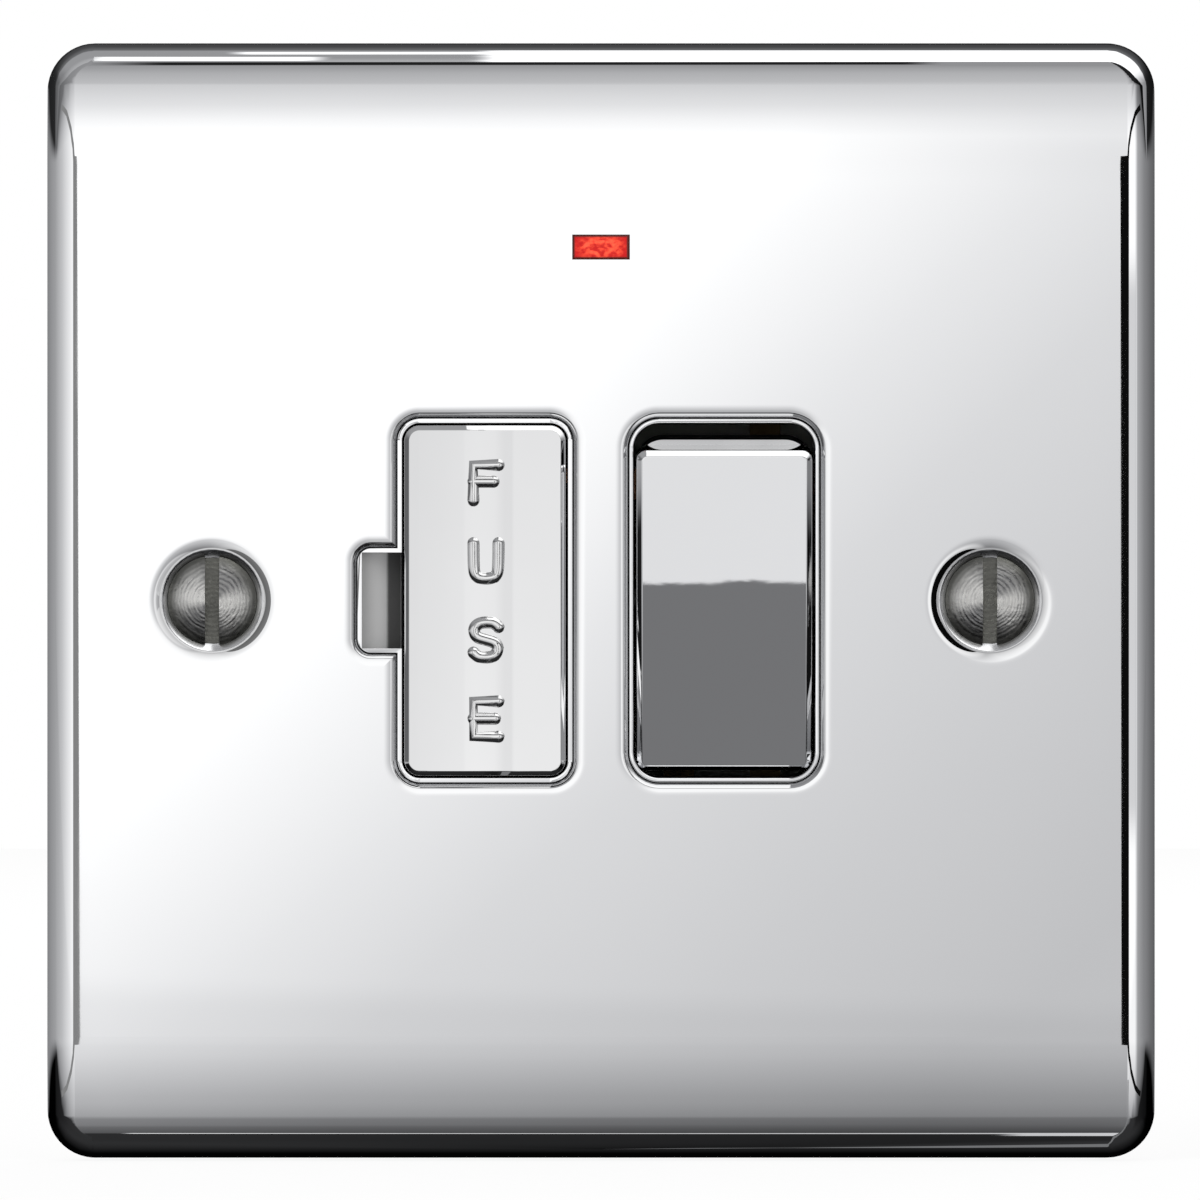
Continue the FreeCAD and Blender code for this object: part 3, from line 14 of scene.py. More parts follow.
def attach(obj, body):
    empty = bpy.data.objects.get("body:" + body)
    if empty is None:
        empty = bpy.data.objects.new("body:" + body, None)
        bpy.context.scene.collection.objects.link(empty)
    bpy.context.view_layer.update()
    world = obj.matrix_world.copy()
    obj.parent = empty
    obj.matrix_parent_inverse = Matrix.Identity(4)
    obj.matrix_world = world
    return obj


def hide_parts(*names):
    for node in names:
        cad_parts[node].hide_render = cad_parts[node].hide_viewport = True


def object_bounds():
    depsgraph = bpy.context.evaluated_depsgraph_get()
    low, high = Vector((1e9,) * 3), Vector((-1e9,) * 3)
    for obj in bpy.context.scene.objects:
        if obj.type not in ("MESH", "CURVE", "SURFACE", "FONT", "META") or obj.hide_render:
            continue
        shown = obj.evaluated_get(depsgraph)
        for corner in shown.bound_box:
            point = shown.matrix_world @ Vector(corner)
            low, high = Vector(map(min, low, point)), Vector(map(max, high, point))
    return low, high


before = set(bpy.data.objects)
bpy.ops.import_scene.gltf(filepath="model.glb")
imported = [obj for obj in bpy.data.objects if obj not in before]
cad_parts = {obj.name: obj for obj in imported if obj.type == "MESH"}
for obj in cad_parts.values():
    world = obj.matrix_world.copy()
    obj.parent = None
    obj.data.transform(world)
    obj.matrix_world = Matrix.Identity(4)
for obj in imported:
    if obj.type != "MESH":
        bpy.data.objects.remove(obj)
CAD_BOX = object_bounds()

logger = logging.getLogger("spur_unit")

MM = 0.001
PER_METRE = 1000
MERGE_GAP = 1e-7
SCREW_X = 30.15


class Body(Enum):
    """The CAD bodies that pieces ride on."""

    WALL_UNIT = "wall_unit"
    ROCKER = "rocker"
    DRAWER = "fuse_drawer"


class Slot(Enum):
    """The record's material slots of new pieces; they are passed along but nothing reads them."""

    PLATE = "polished_plate"
    CAPS = "polished_caps"
    RINGS = "trim_rings"
    SCREWS = "screw_steel"
    LENS = "red_lens"


class Wire:
    """One shader value; arithmetic on it adds Math nodes."""

    def __init__(self, tree: "ShaderTree", socket: bpy.types.NodeSocket) -> None:
        """Keeps the socket and the tree that it belongs to."""
        self.tree = tree
        self.socket = socket

    def math(self, operation: str, *others: "Wire | float", first: bool = True) -> "Wire":
        """Adds a Math node.

        Args:
            operation: Blender's name of the operation.
            others: The other values, as wires or numbers.
            first: Whether this wire is the node's first value.

        Returns:
            The node's result.
        """
        values = (self, *others) if first else (*others, self)
        node = self.tree.node("ShaderNodeMath", {"operation": operation}, dict(enumerate(values)))
        return Wire(self.tree, node.outputs[0])

    def __add__(self, other: "Wire | float") -> "Wire":
        """Sum."""
        return self.math("ADD", other)

    def __radd__(self, other: float) -> "Wire":
        """Sum with a number on the left."""
        return self.math("ADD", other)

    def __sub__(self, other: "Wire | float") -> "Wire":
        """Difference."""
        return self.math("SUBTRACT", other)

    def __rsub__(self, other: float) -> "Wire":
        """Difference from a number."""
        return self.math("SUBTRACT", other, first=False)

    def __mul__(self, other: "Wire | float") -> "Wire":
        """Product."""
        return self.math("MULTIPLY", other)

    def __truediv__(self, other: "Wire | float") -> "Wire":
        """Quotient."""
        return self.math("DIVIDE", other)

    def __neg__(self) -> "Wire":
        """The value with its sign changed."""
        return self.math("MULTIPLY", -1.0)

    def __abs__(self) -> "Wire":
        """The value without its sign."""
        return self.math("ABSOLUTE")

    def step(self, low: float, high: float) -> "Wire":
        """Smooth step from 0 at low to 1 at high."""
        settings = {"interpolation_type": "SMOOTHSTEP"}
        inputs = {"Value": self, "From Min": low, "From Max": high}
        node = self.tree.node("ShaderNodeMapRange", settings, inputs)
        return Wire(self.tree, node.outputs[0])

    def band(self, low: float, high: float, soft: float) -> "Wire":
        """1 between low and high, fading to 0 over soft outside them."""
        return self.step(low - soft, low) * (1 - self.step(high, high + soft))

    def clamp(self, low: float, high: float) -> "Wire":
        """The value kept between low and high."""
        return self.math("MAXIMUM", low).math("MINIMUM", high)

    def ramp(self, stops: Sequence[tuple[float, float]], low: float, high: float) -> "Wire":
        """Value along a line of stops.

        Args:
            stops: Pairs of place and value, in rising order of place.
            low: Place at the ramp's start.
            high: Place at its end.

        Returns:
            The value at this wire's place.
        """
        inputs = {"Value": self, "From Min": low, "From Max": high}
        place = self.tree.node("ShaderNodeMapRange", {}, inputs)
        node = self.tree.node("ShaderNodeValToRGB", {}, {0: place.outputs[0]})
        self.tree.fill_ramp(node, [((p - low) / (high - low), (v, v, v, 1)) for p, v in stops])
        return Wire(self.tree, node.outputs[0])


class ShaderTree:
    """A node tree of a material or world, with one way to add nodes."""

    def __init__(self, tree: bpy.types.NodeTree) -> None:
        """Starts from an empty tree."""
        self.tree = tree
        self.tree.nodes.clear()

    def node(self, kind: str, settings: Optional[dict] = None,
             inputs: Optional[dict] = None) -> bpy.types.Node:
        """Adds a node.

        Args:
            kind: Blender's type name of the node.
            settings: Properties, set before the inputs.
            inputs: Socket name or number to a wire, socket or plain value.

        Returns:
            The new node.
        """
        made = self.tree.nodes.new(kind)
        for name, value in (settings or {}).items():
            setattr(made, name, value)
        for name, value in (inputs or {}).items():
            self.feed(made.inputs[name], value)
        return made

    def feed(self, target: bpy.types.NodeSocket, value: object) -> None:
        """Links a wire or socket to an input, or sets a plain value."""
        if isinstance(value, Wire):
            value = value.socket
        if isinstance(value, bpy.types.NodeSocket):
            self.tree.links.new(value, target)
        else:
            target.default_value = value

    @staticmethod
    def fill_ramp(node: bpy.types.Node, stops: Sequence[tuple[float, tuple]]) -> None:
        """Gives a colour ramp its stops."""
        elements = node.color_ramp.elements
        for _ in range(len(stops) - 2):
            elements.new(0.5)
        for element, (place, colour) in zip(elements, stops):
            element.position = place
            element.color = colour

    def wire(self, node: bpy.types.Node, name: str | int = 0) -> Wire:
        """One output of a node as a wire."""
        return Wire(self, node.outputs[name])

    def place(self) -> bpy.types.NodeSocket:
        """Object coordinates in metres."""
        return self.node("ShaderNodeTexCoord").outputs["Object"]

    def spot(self) -> tuple[Wire, Wire, Wire]:
        """Object coordinates in millimetres, one wire for each axis."""
        parts = self.node("ShaderNodeSeparateXYZ", {}, {0: self.place()})
        x, y, z = (self.wire(parts, axis) * PER_METRE for axis in "XYZ")
        return x, y, z

    def noise(self, size: float, detail: float = 2.0, stretch: Sequence[float] = (1, 1, 1)) -> Wire:
        """Noise on the piece.

        Args:
            size: Size of a patch in metres.
            detail: Noise detail.
            stretch: Factors on the three axes.

        Returns:
            Noise from 0 to 1.
        """
        scale = tuple(part / size for part in stretch)
        mapped = self.node("ShaderNodeMapping", {}, {"Vector": self.place(), "Scale": scale})
        inputs = {"Vector": mapped.outputs[0], "Scale": 1.0, "Detail": detail}
        return self.wire(self.node("ShaderNodeTexNoise", {}, inputs))

    def blend(self, factor: Wire | float, dark: tuple, light: tuple) -> bpy.types.NodeSocket:
        """A colour between two, by a factor."""
        node = self.node("ShaderNodeMix", {"data_type": "RGBA"}, {0: factor, 6: dark, 7: light})
        return node.outputs[2]

    def bump(self, height: Wire, depth: float, strength: float = 1.0) -> bpy.types.NodeSocket:
        """A Bump node's normal.

        Args:
            height: The height at each place.
            depth: Metres that a height of 1 stands for.
            strength: Share of the effect.

        Returns:
            The normal.
        """
        inputs = {"Height": height, "Distance": depth, "Strength": strength}
        return self.node("ShaderNodeBump", {}, inputs).outputs[0]


class Finish:
    """A material that is made once and then shared."""

    name: str = ""

    def build(self, tree: ShaderTree) -> bpy.types.NodeSocket:
        """Builds the nodes and returns the surface shader."""
        raise NotImplementedError

    def material(self) -> bpy.types.Material:
        """The finished material, made at its first use."""
        name = f"look_{self.name}"
        known = bpy.data.materials.get(name)
        if known:
            return known
        made = bpy.data.materials.new(name)
        made.use_nodes = True
        tree = ShaderTree(made.node_tree)
        surface = self.build(tree)
        tree.node("ShaderNodeOutputMaterial", {}, {"Surface": surface})
        return made


def grey(level: float) -> tuple[float, float, float, float]:
    """A neutral colour."""
    return (level, level, level, 1.0)


@dataclass(frozen=True)
class Chrome(Finish):
    """Polished plating: mirror bright, with faint haze and polishing marks.

    The patch is in metres, the marks' height in millimetres. The lean turns the whole mirror sideways and the
    tip turns it up, both in degrees.
    """

    name: str = "chrome"
    colour: tuple = (0.925, 0.928, 0.935, 1)
    shadow: tuple = (0.905, 0.91, 0.92, 1)
    smooth: float = 0.004
    hazy: float = 0.014
    patch: float = 0.02
    lean: float = 0.0
    tip: float = 0.0
    mark: float = 1e-5

    def build(self, tree: ShaderTree) -> bpy.types.NodeSocket:
        """Metal whose roughness and tint drift a little over the surface."""
        haze = tree.noise(self.patch, 3.0)
        rough = haze.step(0.35, 0.8) * (self.hazy - self.smooth) + self.smooth
        spot = tree.spot()
        colour, rough, plating = self.wear(tree, spot, tree.blend(haze, self.colour, self.shadow), rough)
        inputs = {
            "Base Color": colour,
            "Metallic": plating,
            "Roughness": rough,
            "Normal": tree.bump(self.relief(tree, spot) * MM, 1.0),
        }
        return tree.node("ShaderNodeBsdfPrincipled", {}, inputs).outputs[0]

    def relief(self, tree: ShaderTree, spot: tuple) -> Wire:
        """Height of the surface in millimetres: polishing marks, and the lean of the whole face."""
        marks = tree.noise(0.0006, 2.0, (1, 1, 8)) * self.mark
        for place, lean in zip((spot[0], spot[2]), (self.lean, self.tip)):
            if lean:
                marks = marks + place * -math.tan(math.radians(lean))
        return marks

    def wear(self, tree: ShaderTree, spot: tuple, colour: bpy.types.NodeSocket, rough: Wire) -> tuple:
        """What differs from place to place.

        Args:
            tree: The material's tree.
            spot: The place on the piece in millimetres, as three wires.
            colour: The even chrome's colour.
            rough: Its roughness.

        Returns:
            Colour, roughness and share of bare metal.
        """
        return colour, rough, 1.0


@dataclass(frozen=True)
class RolledPlate(Chrome):
    """The plate's chrome, which dips beside each opening and seat, with painted shade there, and turns satin
    in the screw seats.
    """

    reach: float = 1.1
    dip: float = 0.035
    # colour of the painted shade beside the openings and seats
    lip_painted_shade: tuple = (0.2, 0.2, 0.205, 1)
    seat_rough: float = 0.16
    openings: tuple = (
        (-9.0, 0.0, 6.825, 14.15, 1.8),
        (-17.0, 0.0, 1.925, 4.1, 1.1),
        (9.55, 0.0, 7.425, 14.15, 2.4),
    )
    seats: tuple = ((-SCREW_X, 0.0, 4.1, 4.1, 4.1), (SCREW_X, 0.0, 4.1, 4.1, 4.1))

    @staticmethod
    def away(spot: tuple, openings: tuple) -> Wire:
        """Distance from the nearest of some rounded openings.

        Args:
            spot: The place in millimetres.
            openings: Centre across and up, half the width and height, and corner radius of each.

        Returns:
            The distance in millimetres, below 0 inside an opening.
        """
        nearest = None
        for left, up, half_wide, half_tall, corner in openings:
            beside = (abs(spot[0] - left) - (half_wide - corner)).math("MAXIMUM", 0)
            above = (abs(spot[2] - up) - (half_tall - corner)).math("MAXIMUM", 0)
            one = (beside * beside + above * above).math("SQRT") - corner
            nearest = one if nearest is None else nearest.math("MINIMUM", one)
        return nearest

    def lip(self, spot: tuple) -> Wire:
        """1 at the edge of an opening or seat, falling to 0 where its lip ends."""
        return (1 - self.away(spot, self.openings + self.seats) / self.reach).clamp(0, 1)

    def relief(self, tree: ShaderTree, spot: tuple) -> Wire:
        """Polishing marks, and the pressed lips round the openings."""
        lip = self.lip(spot)
        return super().relief(tree, spot) - lip * lip * lip * self.dip

    def wear(self, tree: ShaderTree, spot: tuple, colour: bpy.types.NodeSocket, rough: Wire) -> tuple:
        """Painted shade close to the openings and round the seats, stronger towards the top, and satin in the
        screw seats.
        """
        lip = self.lip(spot)
        seat = 1 - self.away(spot, self.seats).step(-0.25, 0.0)
        # share of painted shade: strongest at a lip's edge, stronger towards the top, none inside a seat
        share = lip * lip * (1 - seat) * (0.62 + spot[2] * 0.012).clamp(0.35, 0.8)
        return tree.blend(share, colour, self.lip_painted_shade), rough + seat * self.seat_rough, 1.0


@dataclass(frozen=True)
class NotchedRing(Chrome):
    """The drawer ring's chrome, with the satin floor of its prising notch, which carries painted light and
    shade.
    """

    floor: float = -3.85
    side: float = -15.6
    soft: float = 0.1
    # greys of the painted light and shade on the notch's floor, from its outer end to beside the drawer
    outer: tuple = grey(0.34)
    middle: tuple = grey(0.62)
    inner: tuple = grey(0.1)
    floor_rough: float = 0.25
    satin: float = 0.9

    def wear(self, tree: ShaderTree, spot: tuple, colour: bpy.types.NodeSocket, rough: Wire) -> tuple:
        """Satin grey on the notch's floor with painted light and shade: lighter down the slope, painted shade
        beside the drawer.
        """
        beside = 1 - spot[0].step(self.side, self.side + self.soft)
        mask = spot[1].step(self.floor, self.floor + self.soft) * beside
        # painted shade where the floor deepens beside the drawer, over painted light that grows down the
        # slope
        deep = spot[0].step(-16.75, -16.45)
        slope = tree.blend(spot[0].step(-18.9, -16.8), self.outer, self.middle)
        painted_floor_light_and_shade = tree.blend(deep, slope, self.inner)
        return tree.blend(mask, colour, painted_floor_light_and_shade), rough + mask * self.floor_rough, 1 - mask * self.satin


@dataclass(frozen=True)
class PlatedSkirt(Chrome):
    """The rocker's moulding: chrome-plated at its front, bare black behind."""

    edge: float = -2.0
    soft: float = 0.1
    bare: tuple = (0.012, 0.012, 0.013, 1)
    bare_rough: float = 0.32

    def wear(self, tree: ShaderTree, spot: tuple, colour: bpy.types.NodeSocket, rough: Wire) -> tuple:
        """Plating in front of the edge."""
        behind = spot[1].step(self.edge, self.edge + self.soft)
        return tree.blend(behind, colour, self.bare), rough + behind * self.bare_rough, 1 - behind


@dataclass(frozen=True)
class TurnedHead(Chrome):
    """A slotted head's worn steel: turned rings, a painted reflection that changes round the head, painted
    shade towards its rim and in the slot.
    """

    slot_floor: float = -4.6
    slot_soft: float = 0.6
    # dark and bright ends of the painted reflection on the head
    dark: tuple = (0.22, 0.22, 0.225, 1)
    bright: tuple = (0.95, 0.94, 0.91, 1)
    # painted shade of the slot's floor
    slot: tuple = (0.17, 0.17, 0.155, 1)

    def about(self, spot: tuple) -> tuple[Wire, Wire]:
        """Radius and angle about the screw's own axis."""
        across = spot[0] - spot[0].math("SIGN") * SCREW_X
        return (across * across + spot[2] * spot[2]).math("SQRT"), spot[2].math("ARCTAN2", across)

    def in_slot(self, spot: tuple) -> Wire:
        """1 on the slot's floor."""
        return spot[1].step(self.slot_floor - self.slot_soft, self.slot_floor)

    def relief(self, tree: ShaderTree, spot: tuple) -> Wire:
        """Turned rings and dents."""
        radius, _ = self.about(spot)
        rings = (radius * 26.0 + tree.noise(0.0009) * 5.0).math("SINE")
        return rings * (1 - self.in_slot(spot)) * 0.0035 + tree.noise(0.0005, 3.0) * 0.05

    def wear(self, tree: ShaderTree, spot: tuple, colour: bpy.types.NodeSocket, rough: Wire) -> tuple:
        """Painted light and dark round the head, rubbed rings, painted shade towards the rim and in the slot.
        """
        radius, angle = self.about(spot)
        # painted reflection, light and dark by the angle round the head
        painted_reflection = (angle * 2.0 - 0.75).math("SINE") * -0.5 + 0.5
        rubbed = (radius * 17.0 + tree.noise(0.0012, 3.0) * 9.0).math("SINE") * 0.5 + 0.5
        # rubbed rings mixed in, and painted shade towards the head's rim
        painted_light_and_rings = (painted_reflection.step(0.15, 0.9) * 0.7 + rubbed * 0.3) * (1 - radius.step(3.05, 3.2) * 0.6)
        head = tree.blend(painted_light_and_rings, self.dark, self.bright)
        return tree.blend(self.in_slot(spot), head, self.slot), rough + rubbed * 0.12, 1.0


@dataclass(frozen=True)
class Moulded(Finish):
    """Moulded plastic with a fine spark-eroded grain."""

    name: str = "moulded"
    colour: tuple = (0.02, 0.02, 0.021, 1)
    worn: tuple = (0.035, 0.035, 0.036, 1)
    rough: float = 0.42
    grain: float = 0.0003
    height: float = 4e-6

    def build(self, tree: ShaderTree) -> bpy.types.NodeSocket:
        """Grain in the bump, and slow changes in colour and gloss."""
        grain = tree.noise(self.grain, 3.0)
        drift = tree.noise(0.012, 2.0)
        inputs = {
            "Base Color": tree.blend(drift, self.colour, self.worn),
            "Roughness": (drift - 0.5) * 0.12 + self.rough,
            "Normal": tree.bump(grain, self.height, 0.6),
        }
        return tree.node("ShaderNodeBsdfPrincipled", {}, inputs).outputs[0]


@dataclass(frozen=True)
class Metal(Finish):
    """Rolled, turned or plated metal with fine marks along one axis."""

    name: str = "metal"
    colour: tuple = (0.6, 0.6, 0.58, 1)
    stain: tuple = (0.42, 0.41, 0.39, 1)
    rough: float = 0.28
    spread: float = 0.16
    along: tuple = (1, 6, 1)
    height: float = 3e-6

    def build(self, tree: ShaderTree) -> bpy.types.NodeSocket:
        """Marks in the bump and gloss; stains in the colour."""
        marks = tree.noise(0.0005, 3.0, self.along)
        stain = tree.noise(0.004, 4.0).step(0.35, 0.75)
        inputs = {
            "Base Color": tree.blend(stain, self.colour, self.stain),
            "Metallic": 1.0,
            "Roughness": marks * self.spread + stain * 0.1 + self.rough - self.spread / 2,
            "Normal": tree.bump(marks, self.height, 0.5),
        }
        return tree.node("ShaderNodeBsdfPrincipled", {}, inputs).outputs[0]


@dataclass(frozen=True)
class Lens(Finish):
    """Red lens over a glowing lamp: a painted glow, mottled and paler in the middle, deep red, with painted
    shade at its rim.
    """

    name: str = "red_lens"
    # the painted glow's pale middle, the lens's own deep red, and the painted shade at its rim
    middle: tuple = (0.85, 0.09, 0.04, 1)
    tint: tuple = (0.34, 0.003, 0.004, 1)
    rim: tuple = (0.05, 0.01, 0.008, 1)
    centre: tuple = (-0.02, 27.4)
    half_width: float = 2.24
    half_height: float = 1.0
    rim_band: tuple = (0.14, 0.3)
    glow_light: float = 0.55

    def build(self, tree: ShaderTree) -> bpy.types.NodeSocket:
        """A soft mottled painted glow across the lens, inside a rim of painted shade."""
        x, _, z = tree.spot()
        across, upward = abs(x - self.centre[0]), abs(z - self.centre[1])
        inset = (self.half_width - across).math("MINIMUM", self.half_height - upward)
        # painted shade at the lens's rim
        rim = 1 - inset.step(*self.rim_band)
        wide, tall = across / self.half_width, upward / self.half_height
        # painted glow of the lamp behind, with the mottle as painted highlights in it and as texture in the
        # bump
        glow = 1 - (wide * wide + tall * tall * 0.6).step(0.1, 1.1)
        mottle = tree.noise(0.0005, 3.0, (1, 1, 1.4)).step(0.36, 0.68)
        light = glow * (mottle * 0.8 + 0.05)
        colour = tree.blend(rim, tree.blend(light, self.tint, self.middle), self.rim)
        inputs = {
            "Base Color": colour,
            "Roughness": 0.3,
            "IOR": 1.3,
            "Emission Color": colour,
            "Emission Strength": self.glow_light,
            "Normal": tree.bump(mottle, 2e-5, 0.3),
        }
        return tree.node("ShaderNodeBsdfPrincipled", {}, inputs).outputs[0]


@dataclass(frozen=True)
class Glass(Finish):
    """Thin clear glass of the lamp."""

    name: str = "lamp_glass"
    colour: tuple = (0.95, 0.93, 0.9, 1)

    def build(self, tree: ShaderTree) -> bpy.types.NodeSocket:
        """Clear glass with a slight haze that varies over it."""
        haze = tree.noise(0.002, 2.0)
        inputs = {
            "Base Color": tree.blend(haze, self.colour, grey(0.85)),
            "Roughness": haze * 0.1 + 0.02,
            "IOR": 1.48,
            "Transmission Weight": 0.9,
        }
        return tree.node("ShaderNodeBsdfPrincipled", {}, inputs).outputs[0]


PLATE_CHROME = RolledPlate("plate_chrome")
CAP_CHROME = Chrome("cap_chrome", grey(0.98), grey(0.93), hazy=0.02, patch=0.008, tip=8.2)
WORD_CHROME = Chrome("word_chrome", grey(0.84), grey(0.78), 0.05, 0.16, 0.001)
ROCKER_CHROME = Chrome("rocker_chrome", hazy=0.02, patch=0.012, lean=2.5)
SKIRT_CHROME = PlatedSkirt("skirt_chrome", grey(0.8), grey(0.7), 0.06, 0.16, 0.004)
HEAD_STEEL = TurnedHead("head_steel", smooth=0.24, hazy=0.4, patch=0.002)
NOTCH_CHROME = NotchedRing("notch_chrome", smooth=0.03, hazy=0.08, patch=0.006)
RING_CHROME = Chrome("ring_chrome", smooth=0.03, hazy=0.08, patch=0.006)
BLACK = Moulded("black_moulding")
WHITE = Moulded("white_moulding", (0.78, 0.775, 0.75, 1), (0.70, 0.695, 0.67, 1), 0.34, 0.0005, 3e-6)
NYLON = Moulded("plunger_nylon", (0.72, 0.70, 0.64, 1), (0.62, 0.60, 0.54, 1), 0.4)
COATING = Moulded("resistor_coat", (0.30, 0.46, 0.58, 1), (0.24, 0.38, 0.5, 1), 0.3)
CERAMIC = Moulded("fuse_ceramic", (0.80, 0.77, 0.69, 1), (0.72, 0.69, 0.61, 1), 0.5, 0.0002, 5e-6)
TURNED_STEEL = Metal("turned_steel", (0.52, 0.52, 0.50, 1), (0.26, 0.26, 0.25, 1), 0.3, 0.24, (1, 1, 1), 8e-6)
PLATED_STEEL = Metal("plated_steel", (0.66, 0.66, 0.64, 1), (0.5, 0.5, 0.47, 1), 0.3)
DULL_BRASS = Metal("dull_brass", (0.17, 0.12, 0.06, 1), (0.1, 0.07, 0.04, 1), 0.4)
BRASS = Metal("pressed_brass", (0.78, 0.58, 0.27, 1), (0.6, 0.42, 0.19, 1), 0.26)
COPPER = Metal("spring_copper", (0.80, 0.46, 0.29, 1), (0.6, 0.32, 0.2, 1), 0.25)
NICKEL = Metal("fuse_metal", (0.74, 0.72, 0.67, 1), (0.6, 0.57, 0.52, 1), 0.2)
TINNED = Metal("tinned_wire", (0.7, 0.7, 0.69, 1), (0.55, 0.55, 0.53, 1), 0.3)
RED_LENS = Lens()
LAMP_GLASS = Glass()


def dress(node: str, finish: Finish) -> None:
    """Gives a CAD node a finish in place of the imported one."""
    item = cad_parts[node]
    for slot in item.material_slots:
        slot.material = finish.material()


class Piece:
    """A new mesh piece, worked on through bmesh and then placed on a body."""

    def __init__(self, name: str) -> None:
        """Starts an empty mesh."""
        self.name = name
        self.mesh = bmesh.new()

    def finish(self, finish: Finish, body: Body, slot: Slot, sharp: float = 35.0) -> bpy.types.Object:
        """Turns the mesh into an object.

        Args:
            finish: The material.
            body: The CAD body that it rides on.
            slot: The record's slot of its finish; not used.
            sharp: Angle in degrees past which an edge stays sharp.

        Returns:
            The new object.
        """
        bmesh.ops.remove_doubles(self.mesh, verts=self.mesh.verts, dist=MERGE_GAP)
        bmesh.ops.recalc_face_normals(self.mesh, faces=self.mesh.faces)
        data = bpy.data.meshes.new(self.name)
        self.mesh.to_mesh(data)
        self.mesh.free()
        data.shade_smooth()
        data.set_sharp_from_angle(angle=math.radians(sharp))
        made = bpy.data.objects.new(self.name, data)
        bpy.context.scene.collection.objects.link(made)
        data.materials.append(finish.material())
        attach(made, body.value)
        logger.info("%s: %d faces", self.name, len(data.polygons))
        return made


@dataclass
class SoftenedFronts:
    """The bright front pieces with their bevels rolled over, in place of their CAD nodes.

    Each entry has the node, how far its roundings reach in millimetres, its body and its slot. The drawer's
    ring keeps all its triangles, as merged faces would close its notch. The plate's edges round the indicator
    stay sharp; the window's centre and half size there are in metres.
    """

    bright: tuple = (
        ("front_plate", 0.13, Body.WALL_UNIT, Slot.PLATE),
        ("fuse_bezel", 0.06, Body.WALL_UNIT, Slot.RINGS),
        ("rocker_bezel", 0.1, Body.WALL_UNIT, Slot.RINGS),
        ("fuse_cap", 0.23, Body.DRAWER, Slot.CAPS),
        ("rocker_cap", 0.26, Body.ROCKER, Slot.CAPS),
        ("neon_lens", 0.08, Body.WALL_UNIT, Slot.LENS),
    )
    triangulated: tuple = ("fuse_bezel",)
    window: tuple = (0.0274, 0.004, 0.002)
    merge: float = 1e-6
    flat_angle: float = 0.4
    sharp_angle: float = 24.0
    shown_sharp: float = 40

    def build(self, finishes: dict[str, Finish]) -> None:
        """Makes each softened copy.

        Args:
            finishes: Finish of each CAD node.
        """
        for node, width, body, slot in self.bright:
            self.soften(node, width, finishes[node], body, slot)

    def at_window(self, edge: bmesh.types.BMEdge) -> bool:
        """Whether an edge of the plate lies round the indicator's window."""
        up, half_wide, half_tall = self.window
        return all(abs(vert.co.z - up) <= half_tall and abs(vert.co.x) <= half_wide for vert in edge.verts)

    def soften(self, node: str, width: float, finish: Finish, body: Body, slot: Slot) -> bpy.types.Object:
        """Copies a node's mesh, merges it and rounds its edges.

        Args:
            node: The CAD node.
            width: How far each rounding reaches, in millimetres.
            finish: The material.
            body: The CAD body that it rides on.
            slot: The record's slot of its finish.

        Returns:
            The copy.
        """
        piece = Piece(f"{node}_polished")
        mesh = piece.mesh
        mesh.from_mesh(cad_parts[node].data)
        bmesh.ops.remove_doubles(mesh, verts=mesh.verts, dist=self.merge)
        if node not in self.triangulated:
            bmesh.ops.dissolve_limit(mesh, angle_limit=math.radians(self.flat_angle), verts=mesh.verts,
                                     edges=mesh.edges)
        sharp = [edge for edge in mesh.edges
                 if edge.is_manifold and edge.calc_face_angle() > math.radians(self.sharp_angle)
                 and not (node == "front_plate" and self.at_window(edge))]
        bmesh.ops.bevel(mesh, geom=sharp, offset=width * MM, segments=3, profile=0.5, affect="EDGES",
                        material=-1, clamp_overlap=True, offset_type="OFFSET")
        made = piece.finish(finish, body, slot, self.shown_sharp)
        normals = made.modifiers.new("even_faces", "WEIGHTED_NORMAL")
        normals.weight = 100
        normals.keep_sharp = True
        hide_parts(node)
        return made


